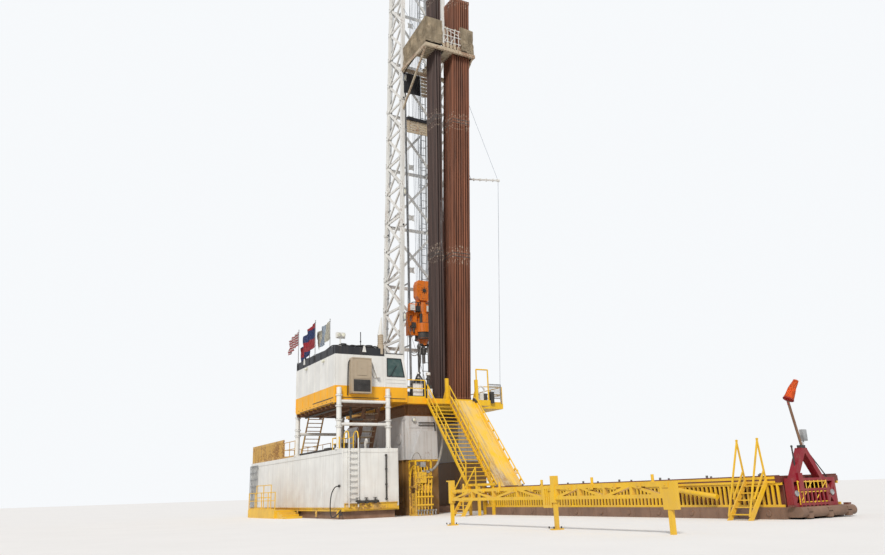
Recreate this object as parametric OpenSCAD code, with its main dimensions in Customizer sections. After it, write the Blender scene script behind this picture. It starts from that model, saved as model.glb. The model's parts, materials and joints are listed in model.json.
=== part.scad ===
// Land drilling rig with a cantilever mast, racked pipe, doghouse, ramp and catwalk.
// Scale model, one half of real size: every length here is half of the real one.
// +X runs from the well along the ramp and the catwalk, +Z is up, Z = 0 is level ground.

/* [Drill floor] */
// Top of the drill floor above the ground
floor_z = 3300; // [2800:10:3800]
// Depth of the floor plate and its edge beams
floor_t = 170; // [140:10:240]
// Depth of the girders between the side boxes and the floor
girder_h = 340; // [240:10:400]
// Front edge of the floor, from the well
floor_front_x = 2475; // [2300:5:2600]
// Rear edge of the floor, behind the well
floor_rear_x = 2300; // [2200:5:2600]
// Half width of the drill floor
floor_half_w = 1880; // [1700:5:1980]
// Width of the wing that stands out on the far side
wing_w = 60; // [40:5:300]
// Front edge of the far wing, from the well
wing_front_x = 1750; // [1500:5:1900]
// Side edge of the front part of the floor on the far side
far_front_y = 1000; // [900:5:1200]
// Side of the square opening round the rotary table
table_opening = 700; // [600:5:800]
// Outer diameter of the rotary table
table_d = 640; // [500:5:660]
// Bore of the rotary table
table_bore = 350; // [200:5:400]
// Height of the guard rails
rail_h = 540; // [450:5:600]
// Diameter of the guard rail tubes
rail_d = 24; // [16:1:40]

/* [Substructure] */
// Half width of the cellar between the two side boxes
cellar_half_w = 800; // [700:5:900]
// Width of one side box
box_w = 1050; // [900:5:1080]
// Front face of the near side box, from the well
box_front_x = 2250; // [1900:5:2300]
// Front face of the far side box, from the well
box_far_front_x = 750; // [700:5:900]
// Height of the skid under the side boxes
skid_h = 200; // [120:5:260]
// Height of the painted band on the side boxes
band_h = 1540; // [600:10:1800]

/* [Drawworks] */
// Length of the drawworks skid
drawworks_l = 1050; // [900:5:1100]
// Width of the drawworks skid
drawworks_w = 2500; // [2200:5:2800]
// Height of the drawworks cases above the floor
drawworks_h = 900; // [700:5:1000]
// Diameter of the drawworks drum
drum_d = 560; // [400:5:620]

/* [Mast] */
// Top of the mast legs above the ground
mast_top_z = 25000; // [22000:50:27000]
// Half width of the mast at its foot
mast_foot_half_w = 1100; // [1000:5:1200]
// Half width of the mast at its top
mast_top_half_w = 740; // [700:5:900]
// Front leg at the foot, in front of the well
front_leg_foot_x = 500; // [450:5:600]
// Front leg at the top, in front of the well
front_leg_top_x = 760; // [700:5:850]
// Rear leg at the foot, behind the well
rear_leg_foot_x = 880; // [800:5:950]
// Rear leg at the top, behind the well
rear_leg_top_x = 120; // [110:5:160]
// Side of the square mast legs
leg_w = 125; // [90:1:150]
// Width of the lacing bars
lace_w = 80; // [40:1:90]
// Thickness of the lacing bars
lace_t = 50; // [24:1:60]
// Number of laced bays up each side of the mast
side_bays = 20; // [12:1:24]
// Number of braced bays up the rear of the mast
rear_bays = 10; // [6:1:12]

/* [Crown] */
// Height of the crown frame
crown_h = 420; // [300:5:500]
// Reach of the crown frame past the mast legs
crown_over = 130; // [60:5:200]
// Reach of the crown frame behind the rear legs, for the sheaves
crown_rear = 340; // [320:5:420]
// Diameter of the crown sheaves
sheave_d = 620; // [400:5:630]
// Number of crown sheaves
sheave_count = 5; // [3:1:6]

/* [Hoist] */
// Well centre line, from the middle of the drill floor
well_x = 0; // [-20:5:40]
// Lowest point of the elevator above the ground at rest
elevator_z = 3900; // [3700:10:4300]
// Length of the elevator links
links_l = 1500; // [1200:10:1700]
// Height of the top drive
drive_h = 1550; // [1400:10:1800]
// Width of the top drive's carriage across the mast
drive_w = 1240; // [1160:5:1300]
// Diameter of the top drive's motor
drive_d = 620; // [500:5:640]
// Height of the travelling block
block_h = 700; // [600:10:900]
// Width of the travelling block
block_w = 520; // [420:5:600]
// Thickness of the travelling block
block_t = 300; // [240:5:320]
// Diameter of the drilling lines
line_d = 16; // [10:1:24]
// Side of the guide rails
guide_w = 60; // [40:1:80]
// Distance of a guide rail from the mast's middle
guide_y = 500; // [470:5:530]
// How far the guide rails end below the mast top
guide_drop = 900; // [500:10:1200]

/* [Racked pipe] */
// Diameter of the drill pipe
pipe_d = 63.5; // [50:0.5:70]
// Diameter of the tool joints
joint_d = 82; // [72:0.5:84]
// Length of one tool joint
joint_l = 230; // [150:5:300]
// Length of one single of pipe
single_l = 4750; // [4500:10:4800]
// Distance between the rows of stands, along the mast's front
row_pitch = 100; // [98:0.5:110]
// Distance between the stands in a row
stand_pitch = 88; // [86:0.5:96]
// Number of rows of stands
rows = 7; // [4:1:8]
// Number of stands a row in the near bundle
near_columns = 3; // [2:1:3]
// Number of stands a row in the far bundle
far_columns = 8; // [5:1:8]
// Front row's foot, from the well
stand_front_x = 1920; // [1800:5:1930]
// Lean of the stands towards the catwalk, in degrees
stand_lean = 2.4; // [1.5:0.1:2.6]
// Lean of the far bundle away from the mast's middle, in degrees
far_lean = 1.0; // [0.5:0.1:1.2]

/* [Racking board] */
// How far the underside of the racking board lies below the tops of the stands
board_drop = 2300; // [2000:10:2600]
// Front edge of the board, from the well
board_front_x = 2600; // [2590:5:2700]
// Half width of the board
board_half_w = 980; // [950:5:1020]
// Depth of the board's edge beams
board_beam_h = 120; // [80:5:180]
// Width of the fingers between the rows
finger_w = 24; // [16:1:26]
// Height of the windwalls
windwall_h = 1050; // [700:10:1300]
// Thickness of the windwalls
windwall_t = 20; // [12:1:40]

/* [Doghouse] */
// Rear wall of the doghouse, behind the well
dog_rear_x = 900; // [800:5:1000]
// Front wall of the doghouse, from the well
dog_front_x = 2490; // [2400:5:2600]
// Far wall of the doghouse, from the mast's middle
dog_far_y = 2600; // [2595:5:2700]
// Width of the doghouse
dog_w = 1525; // [1400:5:1600]
// Underside of the doghouse floor
dog_z = 3100; // [2900:5:3200]
// Height of the doghouse floor frame
dog_floor_h = 150; // [100:5:200]
// Height of the doghouse walls
dog_wall_h = 1220; // [1100:5:1300]
// Height of the doghouse roof band
dog_roof_h = 230; // [160:5:300]
// Thickness of the doghouse walls
dog_wall_t = 40; // [25:1:60]
// Width of the doghouse door
dog_door_w = 420; // [360:5:480]
// Height of the doghouse door
dog_door_h = 1000; // [900:5:1050]

/* [Cab] */
// Length of the driller's cab
cab_l = 1400; // [1200:5:1500]
// Height of the driller's cab
cab_h = 1400; // [1200:5:1500]
// Thickness of the cab walls
cab_t = 36; // [24:1:50]
// How far the cab's glazed side leans in at the top
cab_lean = 120; // [60:5:160]

/* [Water tank] */
// Front end of the tank, from the well
tank_front_x = 3000; // [2900:5:3100]
// Rear end of the tank, behind the well
tank_rear_x = 6000; // [4500:10:6500]
// Width of the tank
tank_w = 1650; // [1500:5:1700]
// Underside of the tank shell
tank_z = 300; // [250:5:400]
// Height of the tank shell
tank_h = 1490; // [1300:5:1600]
// Thickness of the tank plates
tank_t = 30; // [16:1:40]
// Length of the guard screen on the tank roof
screen_l = 3700; // [3000:10:4200]
// Height of the guard screen
screen_h = 600; // [450:5:700]
// Rear end of the porch beside the tank, behind the well
porch_rear_x = 3850; // [3000:10:4500]
// Length of the porch
porch_l = 2950; // [2000:10:3200]
// Width of the porch
porch_w = 640; // [500:5:700]
// Height of the porch
porch_h = 240; // [180:5:300]
// Diameter of the doghouse support posts
post_d = 140; // [100:5:180]

/* [Ramp] */
// Lower end of the ramp, from the well
ramp_foot_x = 4760; // [4700:5:5000]
// Width of the ramp
ramp_w = 900; // [800:5:1000]
// Height of the ramp's side plates
ramp_side_h = 110; // [80:5:160]
// Width of the ramp stair
stair_w = 770; // [600:5:800]
// Height of the landing between the ramp stair and the lower stair
landing_z = 790; // [750:5:900]

/* [Catwalk] */
// Near end of the catwalk frame, from the well
cat_start_x = 4640; // [4560:5:4680]
// Far end of the catwalk frame, from the well
cat_end_x = 13850; // [13000:10:14200]
// Width of the catwalk
cat_w = 1500; // [1300:5:1600]
// Length of the end bumper past the frame
bumper_l = 220; // [180:10:400]
// Diameter of the bumper's round nose
bumper_d = 160; // [100:5:180]
// Top of the catwalk
cat_z = 670; // [600:5:680]
// Height of the catwalk skid
cat_skid_h = 190; // [120:5:220]
// Pitch of the guard bars along the catwalk side
bar_pitch = 100; // [80:1:140]

/* [Pipe rack] */
// Height of the top of the pipe rack
rack_z = 640; // [600:5:700]
// Depth of the pipe rack trusses
rack_h = 200; // [160:5:260]
// Distance of the pipe rack from the catwalk's middle
rack_y = 4450; // [4000:10:4600]
// First post of the pipe rack, from the well
rack_x0 = 9440; // [9000:10:9800]
// Second post of the pipe rack, from the well
rack_x1 = 12640; // [12000:10:12900]
// End of the pipe rack, from the well
rack_x2 = 15200; // [14800:10:15600]
// Width of a pipe rack post
rack_post_w = 90; // [60:5:160]
// Height of the pipe rack posts
rack_post_h = 790; // [700:5:900]

/* [Hidden] */
// Running clearance between pieces that stand against each other
seat = 0.3;
slim = 1;

// Places that several pieces share
floor_bottom = floor_z - floor_t;
box_top = floor_bottom - girder_h;
box_out_y = cellar_half_w + box_w;
mast_h = mast_top_z - floor_z;
side_slope = (mast_foot_half_w - mast_top_half_w) / mast_h;
rear_slope = (rear_leg_foot_x - rear_leg_top_x) / mast_h;
front_slope = (front_leg_top_x - front_leg_foot_x) / mast_h;
board_z = floor_z + 3 * single_l - board_drop;
dog_near_y = dog_far_y + dog_w;
dog_middle_y = -(dog_near_y + dog_far_y) / 2;
dog_floor_z = dog_z + dog_floor_h;
dog_roof_z = dog_floor_z + dog_wall_h;
cab_far_y = -floor_half_w - seat;
tank_near_y = dog_near_y - 25;
tank_far_y = tank_near_y - tank_w;
tank_top = tank_z + tank_h;
post_x = dog_front_x + seat + post_d / 2;
post_rear_x = dog_rear_x + seat + post_d / 2;
post_near_y = tank_near_y - post_d / 2;
post_far_y = tank_far_y + post_d / 2 + 20;
ramp_stair_y = -ramp_w / 2 - 20 - stair_w;
// The walkway of the board runs between the two bundles of stands
near_first_y = -330;
far_first_y = -28;
near_edge = -near_first_y - joint_d / 2 - 50;
far_edge = far_first_y + tan(far_lean) * (board_z - floor_z) - joint_d / 2 - 50;
all_min_x = -tank_rear_x;
all_max_x = rack_x2;
all_near_y = -tank_near_y - porch_w;
all_far_y = floor_half_w + wing_w;

function front_x(z) = front_leg_foot_x + front_slope * (z - floor_z);
function rear_x(z) = -rear_leg_foot_x + rear_slope * (z - floor_z);

// A flat bar between two points of a profile
module bar2d(a, b, w) {
    d = (b - a) / norm(b - a);
    n = [-d.y, d.x] * w / 2;
    polygon([a + n, a - n, b - n, b + n]);
}

// A profile drawn in X and Z, given thickness t about the plane at y
module on_xz(y, t) {
    translate([0, y + t / 2, 0]) rotate([90, 0, 0]) linear_extrude(t) children();
}

// A profile drawn in Y and Z, given thickness t about the plane at x
module on_yz(x, t) {
    translate([x - t / 2, 0, 0]) rotate([90, 0, 90]) linear_extrude(t) children();
}

// A profile drawn in Y and Z, run from x0 to x1
module run_x(x0, x1) {
    translate([x0, 0, 0]) rotate([90, 0, 90]) linear_extrude(x1 - x0) children();
}

// A box from one corner to the other
module block(a, b) {
    translate(a) cube(b - a);
}

// The outline of a guard rail run
module rail2d(l, h) {
    n = max(1, round(l / 700));
    for (i = [0 : n]) translate([i * (l - rail_d) / n, 0]) square([rail_d, h]);
    for (z = [h / 2, h - rail_d]) translate([0, z]) square([l, rail_d]);
    square([l, rail_d * 2]);
}

// A stair that climbs along +X from the origin, with plate sides and open treads
module flight(run, rise, w, steps) {
    side = 26;
    depth = 110;
    tread = 90;
    for (y = [side / 2, w - side / 2])
        on_xz(y, side) polygon([[0, 0], [depth, 0], [run, rise - depth], [run, rise]]);
    // The highest tread ends with the sides
    for (i = [1 : steps - 1])
        translate([run * i / steps, side - 0.01, rise * i / steps - 30])
            cube([min(tread, run * (steps - i) / steps), w - 2 * side + 0.02, 18]);
}

module skid_beams() {
    color("saddlebrown") {
        for (x = [-floor_rear_x + 60, -400, 900])
            block([x, -cellar_half_w + seat, 0], [x + 160, cellar_half_w - seat, skid_h]);
    }
}

// A plated box with base skid and a painted band, drawn for the near side
module side_box(front) {
    block([-floor_rear_x, -box_out_y, 0], [front, -cellar_half_w, skid_h]);
    block([-floor_rear_x + 60, -box_out_y + 30, skid_h], [front - 30, -cellar_half_w - 30, band_h]);
    block([-floor_rear_x + 30, -box_out_y, band_h], [front, -cellar_half_w, box_top - seat]);
}

module side_box_near() {
    color("whitesmoke") {
        side_box(box_front_x);
        // Tapered shoe on the front of the box
        run_x(box_front_x - 31, box_front_x + 120)
            polygon([[-box_out_y + 160, skid_h - slim], [-cellar_half_w - 60, skid_h - slim],
                     [-cellar_half_w - 60, box_top - 440], [-cellar_half_w - 620, box_top - 440],
                     [-box_out_y + 160, band_h]]);
    }
}

module side_box_far() color("whitesmoke") mirror([0, 1, 0]) side_box(box_far_front_x);

// The outline of a girder, standing on the origin
module girder2d(w, h) {
    flange = 30;
    for (z = [0, h - flange]) translate([-w / 2, z]) square([w, flange]);
    translate([-12, 0]) square([24, h]);
}

// Two girders along a side box and three across it, drawn for the near side
module box_girders(front) {
    w = 200;
    h = girder_h - seat;
    x0 = -floor_rear_x + 60;
    x1 = front - 20;
    for (y = [-box_out_y + 20 + w / 2, -cellar_half_w - 20 - w / 2])
        run_x(x0, x1) translate([y, box_top]) girder2d(w, h);
    for (x = [x0 + w / 2, (x0 + x1) / 2, x1 - w / 2])
        on_xz(-(box_out_y + cellar_half_w) / 2, box_w - 60) translate([x, box_top]) girder2d(w, h);
}

module floor_girders() {
    color("saddlebrown") {
        box_girders(box_front_x);
        mirror([0, 1, 0]) box_girders(box_far_front_x);
    }
}

// A framed hydraulic unit in front of the near side box, tied to the shoe of the box
module hydraulic_unit() {
    l = 420;
    w = 520;
    h = band_h - 40;
    post = 40;
    bar = 50;
    shelf_z = h / 2;
    low_tie_z = 200;
    high_tie_z = 0.7 * h;
    tie_y = 300;
    stand_off = 350;
    shoe_l = 120;
    bottle_d = 130;
    panel_z = shelf_z + 120;
    color("gold") translate([box_front_x + stand_off, -box_out_y - 90, 0]) {
        for (z = [0, shelf_z]) block([0, 0, z], [l, w, z + bar]);
        for (x = [0, l - post]) for (y = [0, w - post])
            block([x, y, bar - slim], [x + post, y + post, h]);
        for (x = [0, l - post]) block([x, slim, h - post], [x + post, w + 200, h]);
        for (y = [0, w - post]) block([slim, y, h - post], [l - slim, y + post, h]);
        // Reservoir below, pressure bottles above and a panel on the front
        block([post - slim, 60, bar - slim], [l - 60, w - 60, 0.4 * h]);
        for (y = [150, w - 150]) for (x = [bottle_d, l - bottle_d])
            translate([x, y, shelf_z + bar - slim]) cylinder(d = bottle_d, h = 0.36 * h, $fn = 24);
        block([l - slim, post - slim, panel_z], [l + 60, w - 200, panel_z + 300]);
        // Ties that run back to the shoe, and the bars they start from
        for (z = [low_tie_z, high_tie_z]) {
            block([shoe_l - stand_off + seat, tie_y, z], [slim, tie_y + 60, z + bar]);
            block([0, slim, z], [post, w - slim, z + bar]);
        }
    }
}

module floor_near() {
    color("goldenrod") {
        block([-floor_rear_x, -floor_half_w, floor_bottom],
              [floor_front_x, -cellar_half_w - seat, floor_z]);
        block([-dog_rear_x, -dog_far_y + seat, floor_bottom],
              [dog_front_x - cab_l - 2, -floor_half_w, floor_z]);
    }
}

module floor_far() {
    color("goldenrod") {
        block([-floor_rear_x, cellar_half_w + seat, floor_bottom],
              [wing_front_x, floor_half_w + wing_w, floor_z]);
        block([wing_front_x, cellar_half_w + seat, floor_bottom],
              [floor_front_x, far_front_y, floor_z]);
    }
}

module floor_front() {
    color("goldenrod")
        block([well_x + table_opening / 2, -cellar_half_w, floor_bottom],
              [floor_front_x, cellar_half_w, floor_z]);
}

module floor_rear() {
    color("goldenrod") difference() {
        block([-floor_rear_x, -cellar_half_w, floor_bottom],
              [well_x + table_opening / 2 - seat, cellar_half_w, floor_z]);
        block([well_x - table_opening / 2, -table_opening / 2, floor_bottom - 1],
              [well_x + table_opening, table_opening / 2, floor_z + 1]);
    }
}

module rotary_table() {
    color("dimgray") translate([well_x, 0, 0]) difference() {
        union() {
            translate([0, 0, floor_bottom]) cylinder(d = table_d, h = floor_t, $fn = 64);
            translate([-table_opening / 2 + seat, -table_opening / 2 + seat, floor_bottom])
                cube([table_opening - 2 * seat, table_opening - 2 * seat, floor_t / 2]);
        }
        translate([0, 0, floor_bottom - 1]) cylinder(d = table_bore, h = floor_t + 2, $fn = 48);
    }
}

module drawworks() {
    x0 = -floor_rear_x + 80;
    x1 = x0 + drawworks_l;
    y = drawworks_w / 2;
    case_w = 0.2 * drawworks_w;
    base_h = 120;
    color("whitesmoke") {
        block([x0, -y, floor_z], [x1, y, floor_z + base_h]);
        for (y0 = [-y + 100, y - 100 - case_w])
            block([x0 + 60, y0, floor_z + base_h - slim], [x1 - 150, y0 + case_w, floor_z + drawworks_h]);
        translate([(x0 + x1) / 2 - 45, -y + 99 + case_w, floor_z + drawworks_h * 0.56]) rotate([-90, 0, 0])
            cylinder(d = drum_d, h = 2 * (y - 99 - case_w), $fn = 48);
    }
}

module floor_rails() {
    color("gold") {
        on_xz(floor_half_w + wing_w - rail_d, rail_d)
            translate([-floor_rear_x, floor_z]) rail2d(floor_rear_x + wing_front_x, rail_h);
        on_yz(-floor_rear_x + rail_d, rail_d)
            translate([-floor_half_w, floor_z]) rail2d(2 * floor_half_w + wing_w - 2 * rail_d, rail_h);
        on_yz(wing_front_x - rail_d, rail_d)
            translate([far_front_y, floor_z])
                rail2d(floor_half_w + wing_w - far_front_y - 2 * rail_d, rail_h);
        on_yz(floor_front_x - rail_d, rail_d)
            translate([-floor_half_w, floor_z]) rail2d(floor_half_w + ramp_stair_y - 20, rail_h);
    }
}

// One side of the mast, drawn upright: two legs, cross lacing and a bar at each bay
module mast_side_profile_legs(h) {
    bar2d([front_leg_foot_x, -10], [front_leg_top_x, h + 10], leg_w);
    bar2d([-rear_leg_foot_x, -10], [-rear_leg_top_x, h + 10], leg_w);
}

module mast_side_profile_lacing(h) {
    step = h / side_bays;
    for (i = [0 : side_bays - 1]) {
        z0 = max(i * step, lace_w / 2);
        z1 = (i + 1) * step - (i == side_bays - 1 ? lace_w / 2 : 0);
        f0 = front_leg_foot_x + front_slope * z0;
        f1 = front_leg_foot_x + front_slope * z1;
        r0 = -rear_leg_foot_x + rear_slope * z0;
        r1 = -rear_leg_foot_x + rear_slope * z1;
        bar2d([r0, z0], [f1, z1], lace_w);
        bar2d([f0, z0], [r1, z1], lace_w);
        bar2d([r1, z1], [f1, z1], lace_w);
    }
}

module mast_side() {
    lean = atan(side_slope);
    h = mast_h / cos(lean);
    pad = 130;
    y = -mast_foot_half_w;
    // Both ends are cut level, at the floor and under the crown
    intersection() {
        translate([0, y, floor_z]) rotate([-lean, 0, 0]) {
            on_xz(0, leg_w) mast_side_profile_legs(h);
            on_xz(0, lace_t) mast_side_profile_lacing(h);
        }
        block([-2 * rear_leg_foot_x, 2 * y, floor_z], [2 * front_leg_top_x, 0, mast_top_z]);
    }
    for (x = [front_leg_foot_x, -rear_leg_foot_x])
        block([x - pad, y - pad, floor_z], [x + pad, y + pad, floor_z + 60]);
}

module mast_side_near() color("whitesmoke") mast_side();

module mast_side_far() color("whitesmoke") mirror([0, 1, 0]) mast_side();

// The rear face of the mast: bars across and crossed braces between the rear legs
module mast_rear() {
    lean = atan(rear_slope);
    h = mast_h / cos(lean);
    step = h / rear_bays;
    in0 = mast_foot_half_w - leg_w / 2 - seat;
    in1 = mast_top_half_w - leg_w / 2 - seat;
    slope = (in0 - in1) / h;
    color("whitesmoke") intersection() {
        translate([-rear_leg_foot_x, 0, floor_z]) rotate([0, lean, 0]) on_yz(0, lace_t)
            intersection() {
                polygon([[-in0, 0], [in0, 0], [in1, h], [-in1, h]]);
                for (i = [0 : rear_bays - 1]) {
                    z0 = i * step;
                    z1 = (i + 1) * step;
                    y0 = mast_foot_half_w - slope * z0;
                    y1 = mast_foot_half_w - slope * z1;
                    bar2d([-y1, z1 - lace_w], [y1, z1 - lace_w], 1.4 * lace_w);
                    if (i > 0) {
                        bar2d([-y0, z0], [y1, z1], lace_w);
                        bar2d([y0, z0], [-y1, z1], lace_w);
                    }
                }
            }
        block([-2 * rear_leg_foot_x, -mast_foot_half_w, floor_z],
              [rear_leg_foot_x, mast_foot_half_w, mast_top_z]);
    }
}

module crown_frame() {
    x0 = -rear_leg_top_x - crown_rear;
    x1 = front_leg_top_x + crown_over;
    y = mast_top_half_w + crown_over;
    z = mast_top_z + seat;
    ring = 120;
    color("whitesmoke") {
        difference() {
            block([x0, -y, z], [x1, y, z + crown_h / 2]);
            block([x0 + ring, -y + ring, z - 1], [x1 - ring, y - ring, z + crown_h]);
        }
        // Beams that carry the sheaves, and the plate between them that the lines hang from
        for (dy = [-420, 360])
            block([x0 + ring - slim, dy, z + 20], [x1 - ring + slim, dy + 60, z + crown_h / 2]);
        block([well_x - 100, -420, z], [well_x + 100, 420, z + 20 + slim]);
        for (dy = [-y, y - rail_d])
            translate([0, dy + rail_d / 2, 0]) on_xz(0, rail_d)
                translate([x0, z + crown_h / 2 - slim]) rail2d(x1 - x0, rail_h);
        for (dx = [x0, x1 - rail_d])
            on_yz(dx + rail_d / 2, rail_d)
                translate([-y, z + crown_h / 2 - slim]) rail2d(2 * y, rail_h);
    }
}

module crown_sheaves() {
    z = mast_top_z + crown_h / 2 + seat;
    axle = z + 130;
    sheave_t = 60;
    spread = 640;
    pitch = spread / sheave_count;
    color("dimgray") translate([well_x, 0, 0]) {
        translate([0, -440, axle]) rotate([-90, 0, 0]) cylinder(d = 110, h = 880, $fn = 32);
        for (i = [0 : sheave_count - 1])
            translate([0, (pitch * (2 * i + 1) - spread - sheave_t) / 2, axle]) rotate([-90, 0, 0])
                cylinder(d = sheave_d, h = sheave_t, $fn = 64);
        for (y = [-420, 360]) block([-110, y, z], [110, y + 60, axle + 70]);
    }
}

module guide_rails() {
    z0 = floor_z + seat;
    z1 = mast_top_z - guide_drop;
    step = mast_h / rear_bays;
    x = well_x - guide_w / 2;
    color("silver") for (s = [-1, 1]) {
        block([x, s * guide_y - guide_w / 2, z0], [x + guide_w, s * guide_y + guide_w / 2, z1]);
        for (i = [1 : rear_bays - 1]) {
            z = floor_z + i * step - lace_w;
            block([rear_x(z) + lace_t / 2 + 2 * seat, s * guide_y - 20, z - 20],
                  [x + slim, s * guide_y + 20, z + 20]);
        }
    }
}

module mast_ladder() {
    lean = atan(rear_slope);
    w = 230;
    z0 = 400;
    z1 = mast_h - 500;
    color("silver") translate([-rear_leg_foot_x - lace_t / 2 - seat - 15, 640, floor_z])
        rotate([0, lean, 0]) on_yz(0, 30) {
            for (y = [0, w - 20]) translate([-y - 20, z0]) square([20, z1 - z0]);
            for (z = [z0 + 80 : 300 : z1]) translate([-w + 1, z]) square([w - 2, 16]);
        }
}

// Where the hoist's pieces sit above each other at rest
bell_z = elevator_z + links_l;
drive_z = bell_z + seat;
block_z = drive_z + drive_h + seat;
lines_z = block_z + block_h;
lines_top = mast_top_z + seat;

module top_drive() {
    gap = 30;
    post = 60;
    foot = 0.2 * drive_h;
    head = 0.72 * drive_h;
    case_z = 200;
    motor_z = 430;
    cooler_z = 730;
    swivel_z = 1130;
    arm_y = 210;
    bar_h = 120;
    back_x = guide_w / 2 + gap;
    face_x = back_x + post;
    color("darkorange") translate([well_x, 0, drive_z]) {
        // Bell, gear case, motor, cooler and swivel over each other on the well's centre line
        cylinder(d1 = 260, d2 = 330, h = case_z + slim, $fn = 32);
        translate([0, 0, case_z]) cylinder(d = 0.88 * drive_d, h = motor_z - case_z + slim, $fn = 48);
        translate([0, 0, motor_z]) cylinder(d = drive_d, h = cooler_z - motor_z + slim, $fn = 48);
        translate([0, 0, cooler_z]) cylinder(d = 0.72 * drive_d, h = swivel_z - cooler_z + slim, $fn = 48);
        translate([0, 0, swivel_z]) cylinder(d = 0.5 * drive_d, h = drive_h - swivel_z - 70, $fn = 32);
        // Carriage that straddles the guide rails, open at the back
        for (s = [-1, 1]) {
            for (y = [guide_y - guide_w / 2 - gap - post, guide_y + guide_w / 2 + gap]) {
                a = s > 0 ? y : -y - post;
                block([-60, a, foot], [face_x, a + post, head]);
            }
            for (z = [foot, (foot + head - bar_h) / 2, head - bar_h]) {
                b = s > 0 ? 0 : -drive_w / 2;
                block([back_x, b, z], [face_x, b + drive_w / 2, z + bar_h]);
            }
        }
        // Bail arms beside the swivel, and the yoke that the block carries
        for (s = [-1, 1]) block([-50, s * arm_y - 35, 900], [50, s * arm_y + 35, drive_h]);
        block([-60, -arm_y - 35, drive_h - 140], [60, arm_y + 35, drive_h]);
        // Cable boxes on the front of the carriage, each on its bracket
        for (y = [-drive_w / 2, 0]) {
            block([face_x - slim, y, head], [face_x + 140, y + 220, head + 260]);
            block([back_x, y + 20, head - bar_h], [face_x, y + 200, head + 200]);
        }
    }
}

module travelling_block() {
    y = block_w / 2;
    color("gold") translate([well_x, 0, block_z]) {
        on_yz(0, block_t)
            polygon([[-0.6 * y, 0], [0.6 * y, 0], [y, 0.2 * block_h], [y, 0.8 * block_h],
                     [0.8 * y, block_h], [-0.8 * y, block_h], [-y, 0.8 * block_h], [-y, 0.2 * block_h]]);
        // Cheek plates beside the sheave housing
        for (s = [-1, 1]) on_yz(s * (block_t / 2 - 5), 30)
            polygon([[-0.4 * y, 60], [0.4 * y, 60], [0.7 * y, 0.5 * block_h], [0.4 * y, 0.85 * block_h],
                     [-0.4 * y, 0.85 * block_h], [-0.7 * y, 0.5 * block_h]]);
    }
}

module elevator_links() {
    shaft_z = 0.6 * links_l;
    color("dimgray") translate([well_x, 0, elevator_z]) {
        for (s = [-1, 1]) block([-25, s * 190 - 25, 60], [25, s * 190 + 25, links_l]);
        translate([0, 0, shaft_z]) cylinder(d = 110, h = links_l - shaft_z, $fn = 32);
        block([-25, -191, links_l - 130], [25, 191, links_l - 60]);
        difference() {
            block([-110, -240, 0], [110, 240, 150]);
            translate([0, 0, -1]) cylinder(d = 90, h = 200, $fn = 32);
        }
    }
}

// Eight lines over the block, in two rows of four
module drill_lines() {
    reach = block_w / 2 - 80;
    color("silver") for (i = [0 : 3]) for (s = [-1, 1])
        translate([well_x + s * block_t / 5, reach * (2 * i / 3 - 1), lines_z])
            cylinder(d = line_d, h = lines_top - lines_z, $fn = 16);
}

// Pipe stands: each one leans as a whole, and its foot rests on the drill floor
stand_bevel = 8;

function row_x(i) = stand_front_x - i * row_pitch;
function row_x_at(i, z) = row_x(i) + tan(stand_lean) * (z - floor_z);

module stand() {
    r = pipe_d / 2;
    j = joint_d / 2;
    half = joint_l / 2;
    taper = half + 30;
    rotate_extrude($fn = 24) polygon([[0, 0], [j - stand_bevel, 0], [j, 12], [j, half], [r, taper],
        [r, single_l - taper], [j, single_l - half], [j, single_l + half],
        [r, single_l + taper], [r, 2 * single_l - taper],
        [j, 2 * single_l - half], [j, 2 * single_l + half],
        [r, 2 * single_l + taper], [r, 3 * single_l - taper],
        [j, 3 * single_l - half], [j, 3 * single_l], [0, 3 * single_l]]);
}

module stands(columns, first_y, side_lean) {
    lift = (joint_d / 2 - stand_bevel) * sin(sqrt(stand_lean * stand_lean + side_lean * side_lean));
    for (i = [0 : rows - 1]) for (k = [0 : columns - 1])
        translate([row_x(i), first_y + k * stand_pitch, floor_z + lift + seat])
            rotate([-side_lean, stand_lean, 0]) stand();
}

module pipe_stands_near() {
    color("sienna") stands(near_columns, near_first_y - (near_columns - 1) * stand_pitch, 0);
}

module pipe_stands_far() color("sienna") stands(far_columns, far_first_y, far_lean);

module racking_board() {
    z1 = board_z + board_beam_h;
    x0 = front_x(z1) + leg_w / 2 + 2 * seat;
    y = board_half_w;
    color("tan") {
        // Edge beams round the board, and the walkway between the bundles
        for (s = [-1, 1]) block([x0, s * (y - 30) - 30, board_z], [board_front_x, s * (y - 30) + 30, z1]);
        block([board_front_x - 80, -y, board_z], [board_front_x, y, z1]);
        block([x0, -y, board_z], [x0 + 80, y, z1]);
        block([x0, -near_edge + 40, board_z], [board_front_x - 79, far_edge - 10, z1 - 40]);
        // Fingers between the rows of stands
        for (i = [-1 : rows - 1]) {
            x = row_x_at(i, board_z) - row_pitch / 2;
            block([x - finger_w / 2, -y + 1, board_z + 40], [x + finger_w / 2, -near_edge - 40, z1 - 20]);
            block([x - finger_w / 2, far_edge + 40, board_z + 40], [x + finger_w / 2, y - 1, z1 - 20]);
        }
    }
}

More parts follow.
